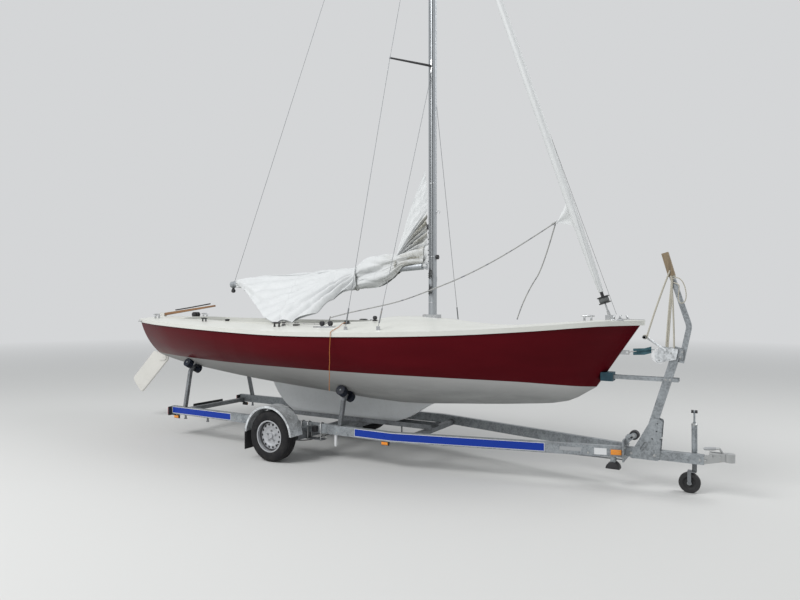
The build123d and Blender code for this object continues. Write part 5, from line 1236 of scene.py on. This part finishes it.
def winch_details():
    """Strap from the drum to the stem eye, its hook, the gears and the crank's grip."""
    ribbon("winch_strap", [(6.604, 0, 1.268), (6.536, 0, 1.272), (6.395, 0, 1.252)], STRAP_WIDTH,
           STRAP_THICK, TEAL_WEB)
    ribbon("winch_strap_twist", [(6.372, -0.003, 1.246), (6.470, -0.004, 1.252), (6.530, -0.004, 1.270)],
           0.060, STRAP_THICK,
           TEAL_WEB, across=(0, 0, 1))
    drum = Build().axle(WINCH[0], (-0.036, 0.036), WINCH[1], 0.046, 40)
    drum.done("strap_on_drum", TEAL_WEB)
    gears = Build()
    for middle, radius, y in ((WINCH, 0.064, 0.052), ((6.655, 1.278), 0.020, 0.052)):
        teeth = 36 if radius > 0.03 else 12
        rim = []
        for step in range(teeth * 2):
            angle = math.pi * step / teeth
            reach = radius if step % 2 else radius * 0.92
            rim.append((middle[0] + reach * math.cos(angle), y, middle[1] + reach * math.sin(angle)))
        gears.prism(rim, (0, 0.008, 0))
    gears.done("winch_gears", ZINC_DARK)
    hook = Build()
    for y in (-0.014, 0.014):
        hook.turned((6.400, y, 1.252), (6.335, y * 0.4, 1.240), 0.004, 10)
    hook.axle(6.400, (-0.026, 0.026), 1.252, 0.0045, 10)
    hook.axle(6.335, (-0.012, 0.012), 1.240, 0.006, 10)
    hook.done("strap_hook", STEEL)
    rim = Build()
    for y in (-0.042, 0.038):
        rim.axle(WINCH[0], (y, y + 0.004), WINCH[1], [(0, 0.0655), (0.5, 0.0690), (1, 0.0655)], 48)
    rim.done("winch_rims", WHITE_FILM)
    grip = Build().axle(CRANK[0], (-0.176, -0.092), CRANK[1],
                        [(0, 0.0125), (0.06, 0.0165), (0.3, 0.0150), (0.7, 0.0162), (1, 0.0150)], 24)
    grip.done("crank_grip", BLACK)


def rest_strands():
    """Ropes drawn tight from the head of the mast rest to the winch and its crank."""
    tops = [(6.690, -0.027, 1.985), (6.708, -0.028, 1.925), (6.712, -0.028, 1.915), (6.700, -0.029, 1.940)]
    feet = [(6.505, -0.110, 1.384), (6.660, -0.050, 1.305), (6.672, -0.044, 1.300), (6.724, -0.040, 1.296)]
    for index, (top, foot) in enumerate(zip(tops, feet)):
        middle = [(a + b) / 2 for a, b in zip(top, foot)]
        line_piece(f"rest_strand_{index}",
                   [top, (middle[0] + 0.008 * index - 0.012, middle[1] - 0.012, middle[2]), foot],
                   STRAND_RADIUS, CREAM_ROPE, smooth=True)
    wraps = Build()
    for turn in range(5):
        z = 1.928 + 0.011 * turn
        x = 6.706 - 0.0035 * turn
        wraps.box(around(x, 0.030), (-0.029, 0.029), (z, z + 0.010))
    wraps.done("rope_wraps", CREAM_ROPE, edge=0.0045)
    crank_turns = Build()
    for turn in range(3):
        y = -0.100 - 0.010 * turn
        crank_turns.axle(CRANK[0], (y, y - 0.009), CRANK[1], [(0, 0.017), (0.5, 0.0205), (1, 0.017)], 20)
    crank_turns.done("crank_wraps", CREAM_ROPE)


def jockey_details():
    """Clamp with its lever, silver cap, the T handle's grips and the wheel's hub."""
    clamp = Build()
    clamp.post(*JOCKEY, (0.296, 0.354), 0.031, 28)
    clamp.box((6.852, 6.900), (0.040, 0.062), (0.292, 0.358))
    clamp.done("jockey_clamp", ZINC_DARK, edge=0.002)
    lever = Build().turned((JOCKEY_STATION, 0.112, 0.326), (6.960, 0.120, 0.318),
                           [(0, 0.007), (0.7, 0.007), (0.72, 0.011), (1, 0.010)], 16)
    lever.axle(JOCKEY_STATION, (0.100, 0.124), 0.326, 0.010, 12)
    lever.done("jockey_lever", SILVER)
    grips = Build()
    for way in (-1, 1):
        grips.bar((JOCKEY_STATION + way * 0.006, JOCKEY_STATION + way * 0.026), JOCKEY[1], 0.726,
                  [(0, 0.0135), (0.9, 0.0145), (1, 0.011)], 18)
    grips.done("jockey_grips", BLACK)
    cap = Build().post(*JOCKEY, (0.604, 0.622), [(0, 0.0265), (0.6, 0.0265), (1, 0.020)], 28)
    cap.done("jockey_cap", SILVER)
    hub = Build().axle(6.836, (0.043, 0.113), 0.090, 0.018, 20)
    hub.done("jockey_hub", ZINC_PALE, "jockey_wheel")


winch_details()
rest_strands()
jockey_details()


# Deck gear
SHEET_WINCH = (2.835, 0.765)              # station and side
LEAD_BLOCK = (3.545, 0.862)


def deck_probe(station, side, fallback=1.45):
    """Height of the deck moulding itself under a spot, found by a ray from above."""
    deck = NODES["deck"]
    hit, spot, _, _ = deck.ray_cast(Vector((at(station), side, 4.0)), Vector((0, 0, -1)))
    return spot.z if hit else fallback


def cleat(build, station, side, size, turn=0.0):
    """Horn cleat: two feet and a tapered bar."""
    z = deck_probe(station, side)
    way = Vector((math.cos(turn), math.sin(turn), 0))
    spot = Vector((station, side, z))
    for foot in (-0.25, 0.25):
        base = spot + way * foot * size
        build.turned(tuple(base), tuple(base + Vector((0, 0, 0.30 * size))),
                     [(0, 0.09 * size), (1, 0.07 * size)], 12)
    start, end = around(spot, way * size / 2)
    lift = Vector((0, 0, 0.34 * size))
    build.turned(tuple(start + lift), tuple(end + lift),
                 [(0, 0.03 * size), (0.25, 0.075 * size), (0.75, 0.075 * size), (1, 0.03 * size)], 14)
    return build


def cam_cleat(build, station, side):
    """Two toothed cams on a plate."""
    z = deck_probe(station, side)
    build.box(around(station, 0.032), around(side, 0.020), (z - 0.004, z + 0.012))
    for shift in (-0.017, 0.017):
        build.post(station + shift, side, (z + 0.012, z + 0.032), [(0, 0.013), (1, 0.011)], 14)
    return build


def deck_winch(build, station, side, size):
    """Small sheet winch: base, waisted drum and top."""
    z = deck_probe(station, side) - 0.003
    profile = [(0, 0.50), (0.12, 0.50), (0.2, 0.40), (0.55, 0.33), (0.82, 0.37), (0.9, 0.43), (1, 0.40)]
    build.post(station, side, (z, z + 0.80 * size), [(share, reach * size) for share, reach in profile], 28)
    return build


def swivel_block(build, station, side, size=0.026):
    """Sheave between cheeks, standing on a small track slide."""
    z = deck_probe(station, side)
    build.box(around(station, 0.024), around(side, 0.011), (z - 0.004, z + 0.014))
    middle = z + 0.014 + size
    for shift in (-0.013, 0.009):
        build.axle(station, (side + shift, side + shift + 0.004), middle, size, 22)
    build.axle(station, around(side, 0.009), middle, size * 0.75, 18)
    return build


def deck_track(build, start, end, side):
    """Low T track that follows the deck."""
    steps = 8
    for step in range(steps):
        a = start + (end - start) * step / steps
        b = start + (end - start) * (step + 1) / steps
        za, zb = deck_probe(a, side), deck_probe(b, side)
        build.prism([(a, side - 0.012, za - 0.003), (b, side - 0.012, zb - 0.003),
                     (b, side + 0.012, zb - 0.003), (a, side + 0.012, za - 0.003)],
                    (0, 0, 0.016))
    return build


def deck_gear():
    """Winches, cleats, blocks and tracks on the side decks, and the mainsheet blocks aft."""
    dark, metal = Build(), Build()
    for side in (-1, 1):
        deck_winch(dark, SHEET_WINCH[0], side * SHEET_WINCH[1], 0.052)
        deck_winch(dark, 1.760, side * 0.560, 0.072)
        cleat(dark, 2.815, side * 0.855, 0.130)
        cam_cleat(dark, 3.010, side * 0.760)
        deck_track(metal, 3.330, 3.600, side * 0.862)
        swivel_block(dark, 3.440, side * 0.862)
        swivel_block(dark, LEAD_BLOCK[0], side * LEAD_BLOCK[1])
        cam_cleat(dark, 3.640, side * 0.700)
        swivel_block(dark, 3.900, side * 0.560, 0.020)
        cleat(metal, 0.300, side * 0.420, 0.150)
        cleat(dark, 1.450, side * 0.640, 0.110)
    for index in range(3):
        shift = (index - 1) * 0.036
        z = deck_probe(0.580, shift, 1.478)
        dark.axle(0.580, around(shift, 0.010), z + 0.026,
                  [(0, 0.034), (0.2, 0.036), (0.8, 0.036), (1, 0.034)], 26)
        dark.box((0.560, 0.600), around(shift, 0.013), (z - 0.004, z + 0.024))
    cleat(metal, 5.960, 0.0, 0.130)
    gear = dark.done("deck_gear", BLACK, slot="black_fitting", edge=0.0008)
    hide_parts("deck_fittings")
    metal.done("deck_tracks", STEEL, edge=0.0008)


def fairleads():
    """Bow fairleads and the stern eyes."""
    steel = Build()
    for side in (-1, 1):
        z = deck_probe(6.260, side * 0.150, 1.53)
        steel.box((6.205, 6.315), around(side * 0.150, 0.014), (z - 0.006, z + 0.010))
        for shift in (-0.040, 0.040):
            steel.turned((6.260 + shift, side * 0.150, z + 0.008),
                         (6.260 + shift * 0.55, side * 0.150, z + 0.044), [(0, 0.009), (1, 0.007)], 12)
    for side in (-1, 1):
        z = deck_probe(0.070, side * 0.520)
        steel.post(0.070, side * 0.520, (z - 0.004, z + 0.006), 0.022, 18)
        arc = round_path((0.070, side * 0.520, z + 0.004), 0.016, 0, 180, 10)
        line_piece(f"stern_eye_{side}", arc, 0.004, STEEL)
    steel.done("bow_fairleads", STEEL, edge=0.001)


deck_gear()
fairleads()


# Rigging and spar fittings
MAST_X = 4.290
MAST_AFT, MAST_FORE, MAST_SIDE = 4.2425, 4.3375, 0.035
SHEET_RADIUS, HALYARD_RADIUS, TIE_RADIUS = 0.0062, 0.0038, 0.0036
RING_HEIGHT = 2.689


def mast_fittings():
    """Halyard cleats, exit boxes, rings, winch and the tangs of the shrouds."""
    steel, dark = Build(), Build()
    for side, height in ((-1, 2.020), (1, 1.960), (-1, 1.840)):
        spot = Vector((MAST_X, side * MAST_SIDE, height))
        for foot in (-0.028, 0.028):
            base = spot + Vector((0, 0, foot))
            dark.turned(tuple(base), tuple(base + Vector((0, side * 0.028, 0))), [(0, 0.009), (1, 0.007)], 12)
        dark.post(MAST_X, side * (MAST_SIDE + 0.032), around(height, 0.062),
                  [(0, 0.004), (0.25, 0.0085), (0.75, 0.0085), (1, 0.004)], 14)
    dark.bar((MAST_FORE - 0.002, MAST_FORE + 0.024), 0, 2.198, [(0, 0.020), (0.4, 0.026), (1, 0.024)], 24)
    dark.box((MAST_AFT - 0.020, MAST_AFT + 0.002), (-0.014, 0.014), (2.505, 2.560))
    dark.box((MAST_FORE - 0.004, MAST_FORE + 0.016), (-0.020, 0.020), (6.880, 6.960))
    dark.box((MAST_FORE - 0.004, MAST_FORE + 0.050), (-0.024, 0.024), (5.160, 5.210))
    for height in (1.700, 2.200, 3.000):
        steel.box(around(MAST_X, 0.030), (-MAST_SIDE - 0.002, MAST_SIDE + 0.002), (height, height + 0.006))
    for height in (6.930, 4.330, 4.250):
        for side in (-1, 1):
            steel.box(around(MAST_X, 0.016), (side * (MAST_SIDE - 0.002), side * (MAST_SIDE + 0.003)),
                      (height - 0.050, height + 0.022))
            steel.bolt((MAST_X, side * (MAST_SIDE + 0.003), height), (0, side, 0), 0.006)
    steel.bar((MAST_FORE - 0.004, MAST_FORE + 0.018), 0, RING_HEIGHT, 0.006, 12)
    dark.done("mast_cleats", BLACK, edge=0.001)
    steel.done("mast_plates", STEEL, edge=0.0006)
    line_piece("mast_ring", round_path((MAST_FORE + 0.026, 0, RING_HEIGHT), 0.016, 0, 360, 20), 0.003, STEEL)


def luff_slides():
    """Slides that hold the lowered sail's luff in the mast's groove."""
    build = Build()
    for step in range(7):
        height = 2.150 + 0.060 * step + 0.010 * (step % 2)
        build.box((MAST_AFT - 0.010, MAST_AFT + 0.004), (-0.005, 0.005), (height, height + 0.014))
    build.done("luff_slides", BLACK, edge=0.001)


def halyards():
    """Taut halyards along the mast, hitched near its foot."""
    for name, side, foot, head in (("main", -1, 2.020, 8.440), ("jib", -1, 1.840, 6.900),
                                   ("spinnaker", 1, 1.960, 6.950)):
        x = MAST_X + (0.014 if name == "jib" else -0.012)
        route = [(x, side * (MAST_SIDE + 0.010), foot), (x, side * (MAST_SIDE + 0.006), foot + 1.4),
                 (x, side * (MAST_SIDE + 0.004), head)]
        line_piece("halyard_" + name, route, HALYARD_RADIUS, GREY_ROPE)
        hitch = Build()
        for turn in range(3):
            z = foot - 0.030 + 0.020 * turn
            hitch.turned((MAST_X - 0.020, side * (MAST_SIDE + 0.030), z - 0.014),
                         (MAST_X + 0.020, side * (MAST_SIDE + 0.030), z + 0.014), 0.005, 10)
        hitch.done("hitch_" + name, GREY_ROPE)


def jib_sheets():
    """Both jib sheets, drawn tight from the clew to the leads on the side decks."""
    clew = (5.653, 0.0, 2.493)
    for name, route in (
            ("right", [clew, (5.268, -0.100, 2.233), (4.812, -0.250, 1.978), (4.477, -0.420, 1.826),
                           (4.216, -0.580, 1.712), (3.967, -0.720, 1.648), (3.720, -0.830, 1.592),
                       (LEAD_BLOCK[0], -LEAD_BLOCK[1], 1.545)]),
            ("left",
             [clew, (5.475, 0.150, 2.054), (5.300, 0.300, 1.877), (5.157, 0.400, 1.660),
              (5.100, 0.430, 1.520)])):
        line_piece("jib_sheet_" + name, route, SHEET_RADIUS, FLECK_ROPE, smooth=True)
    ring = round_path((5.657, -0.002, 2.491), 0.014, 0, 360, 18)
    line_piece("clew_ring", ring, 0.0035, STEEL)
    knot = Build().turned((5.640, -0.006, 2.482), (5.615, -0.010, 2.470),
                          [(0, 0.008), (0.5, 0.013), (1, 0.008)], 14)
    knot.done("sheet_knot", FLECK_ROPE)
    for name, side in SIDES:
        turns = Build()
        for turn in range(3):
            z = deck_probe(SHEET_WINCH[0], side * SHEET_WINCH[1]) + 0.009 + 0.0062 * turn
            turns.post(SHEET_WINCH[0], side * SHEET_WINCH[1], (z, z + 0.006),
                       [(0, 0.020), (0.5, 0.023), (1, 0.020)], 24)
        turns.done("sheet_turns_" + name, FLECK_ROPE)
    lead = [(LEAD_BLOCK[0], -LEAD_BLOCK[1], 1.560), (3.525, -0.858, 1.470), (3.300, -0.822, 1.478),
            (2.870, -0.784, deck_probe(2.870, -0.784) + 0.021)]
    line_piece("sheet_lead_right", lead, SHEET_RADIUS, FLECK_ROPE, smooth=True)


def spare_stay():
    """Thin line ahead of the rolled sail, from the furler to the hounds."""
    line_piece("spare_halyard", [(6.225, -0.006, 1.590), (4.346, 0.0, 6.900)], 0.0016, GREY_ROPE)


def boom_fittings():
    """End cap with its block, the two sail ties and the sail's eyelet."""
    end_x, end_z = BOOM_AXIS[0]
    dark = Build()
    dark.turned((end_x - 0.004, 0, end_z), (end_x + 0.052, 0, end_z + 0.003),
                [(0, 0.034), (0.1, 0.041), (0.9, 0.0415), (1, 0.040)], 28)
    dark.box((end_x + 0.010, end_x + 0.042), (-0.008, 0.008), (end_z - 0.072, end_z - 0.036))
    dark.axle(end_x + 0.026, (-0.016, 0.016), end_z - 0.082,
              [(0, 0.024), (0.2, 0.026), (0.8, 0.026), (1, 0.024)], 24)
    dark.done("boom_end_fittings", BLACK, "boom", edge=0.001)
    for index, station in enumerate(TIE_STATIONS):
        low, _, _, top, half = spline_rows(SAIL_PILE, station)[1:]
        for turn in range(2):
            shift = 0.010 * turn
            route = []
            for step in range(25):
                angle = 2 * math.pi * step / 24
                y = (half + 0.006) * math.cos(angle)
                z = (low + top) / 2 + ((top - low) / 2 + 0.005) * math.sin(angle)
                route.append((station + shift + 0.008 * math.sin(angle), y, z))
            line_piece(f"sail_tie_{index}_{turn}", route, TIE_RADIUS, WHITE_ROPE, "boom")
        knot = Build().turned((station - 0.010, -half - 0.004, (low + top) / 2 - 0.020),
                              (station + 0.022, -half - 0.012, (low + top) / 2 + 0.008),
                              [(0, 0.006), (0.3, 0.012), (0.7, 0.012), (1, 0.006)], 12)
        knot.done(f"tie_knot_{index}", WHITE_ROPE, "boom")
    eyelet = Build().axle(3.864, (-0.052, -0.060), 2.178, [(0, 0.013), (0.5, 0.013), (1, 0.008)], 18)
    eyelet.done("sail_eyelet", BLACK, "boom")


def furler_details():
    """Furling line wound on the drum and the stay's lower terminal."""
    wound = Build()
    low, high = on_stay(1.700), on_stay(1.752)
    wound.turned(tuple(low), tuple(high),
                 [(0, 0.040), (0.15, 0.046), (0.5, 0.047), (0.85, 0.046), (1, 0.040)], 26)
    wound.done("furling_line_wound", GREY_ROPE)
    shackle = Build().turned(tuple(on_stay(1.570)), tuple(on_stay(1.680)),
                             [(0, 0.010), (0.1, 0.014), (0.45, 0.014), (0.5, 0.009), (1, 0.009)], 16)
    shackle.done("stay_terminal", STEEL)


def rudder_details():
    """Bolts through the rudder head and the tiller's extension."""
    bolts = Build()
    for side in (-1, 1):
        for station, height in ((-0.075, 1.470), (-0.120, 1.470), (-0.075, 1.250), (-0.120, 1.140)):
            bolts.bolt((station, side * 0.024, height), (0, side, 0), 0.007)
    bolts.done("rudder_bolts", STEEL, "rudder")
    stick = [(0.880, -0.020, 1.690), (0.500, -0.016, 1.640), (0.180, -0.014, 1.602)]
    line_piece("tiller_extension", stick, 0.0085, BLACK, "rudder")


def cockpit_details():
    """Mainsheet track across the cockpit and the hiking straps in the footwell."""
    track = Build().box((0.790, 0.818), (-0.360, 0.360), (1.148, 1.170))
    track.done("traveller_track", STEEL, edge=0.001)
    straps = Build()
    for side in (-1, 1):
        straps.box((1.700, 3.300), (side * 0.030, side * 0.080), (0.906, 0.912))
    straps.done("hiking_straps", GREY_WEB, smooth=False)


mast_fittings()
luff_slides()
halyards()
jib_sheets()
spare_stay()
boom_fittings()
furler_details()
rudder_details()
cockpit_details()


# Camera, light and floor
CAMERA_AT = (4.163, -6.035, 1.687)
CAMERA_TURN = (90.37, 0.0, 30.3)
CAMERA_LENS = 27.9
# name, place, aim, width, power
LAMPS = [("key", (-3.5, -9.0, 9.5), (0, 0, 1.2), 7.0, 1120.0),
         ("fill", (8.5, 3.5, 8.0), (0, 0, 1.5), 6.0, 420.0)]
FLOOR_RADIUS = 60.0
FLOOR_FADE = (7.0, 26.0)


def make_camera():
    data = bpy.data.cameras.new("camera")
    data.lens = CAMERA_LENS
    data.sensor_width = 36.0
    data.clip_end = 200.0
    camera = new_object("camera", data)
    camera.location = CAMERA_AT
    camera.rotation_euler = [math.radians(v) for v in CAMERA_TURN]
    bpy.context.scene.camera = camera


def make_lamp(name, spot, aim, size, power):
    data = bpy.data.lights.new(name, "AREA")
    data.shape = "DISK"
    data.size = size
    data.energy = power
    lamp = new_object(name, data)
    lamp.location = spot
    lamp.rotation_euler = (Vector(aim) - Vector(spot)).to_track_quat("-Z", "Y").to_euler()


def make_world():
    """Plain backdrop for the camera, mirrors and glass; a cool overcast sky lights everything else."""
    world = bpy.data.worlds.new("studio")
    bpy.context.scene.world = world
    world.use_nodes = True
    tree = world.node_tree
    tree.nodes.clear()
    rays = tree.nodes.new("ShaderNodeLightPath").outputs
    shown = rays["Is Camera Ray"]
    for ray in ("Is Glossy Ray", "Is Transmission Ray"):
        either = tree.nodes.new("ShaderNodeMath")
        either.operation = "MAXIMUM"
        tree.links.new(shown, either.inputs[0])
        tree.links.new(rays[ray], either.inputs[1])
        shown = either.outputs[0]
    mix = tree.nodes.new("ShaderNodeMixShader")
    tree.links.new(shown, mix.inputs[0])
    for place, shade, strength in ((1, SKY_SHADE, SKY_STRENGTH), (2, BACK_SHADE, 1.0)):
        light = tree.nodes.new("ShaderNodeBackground")
        light.inputs[0].default_value = (*shade, 1.0)
        light.inputs[1].default_value = strength
        tree.links.new(light.outputs[0], mix.inputs[place])
    out = tree.nodes.new("ShaderNodeOutputWorld")
    tree.links.new(mix.outputs[0], out.inputs[0])


def make_floor():
    """Round pale floor that fades into the backdrop."""
    f = Finish("studio_floor", FLOOR_SHADE, rough=0.9)
    x, y, _ = f.axes()
    reach = f.math("SQRT", f.math("ADD", f.times(x, x), f.times(y, y)))
    glow = f.add("Emission", {"Color": (*BACK_SHADE, 1.0), "Strength": 1.0})
    blend = f.add("MixShader", {0: f.span(reach, *FLOOR_FADE), 1: f.surface.outputs[0], 2: glow.outputs[0]})
    f.feed(f.out.inputs["Surface"], blend.outputs[0])
    data = bpy.data.meshes.new("studio_floor")
    turns = [math.radians(angle) for angle in range(0, 360, 5)]
    rim = [(FLOOR_RADIUS * math.cos(turn), FLOOR_RADIUS * math.sin(turn), 0.0) for turn in turns]
    data.from_pydata(rim, [], [tuple(range(len(rim)))])
    data.materials.append(f.material)
    new_object("studio_floor", data)


make_camera()
make_world()
make_floor()
for lamp in LAMPS:
    make_lamp(*lamp)
bpy.context.scene.view_settings.view_transform = "Standard"
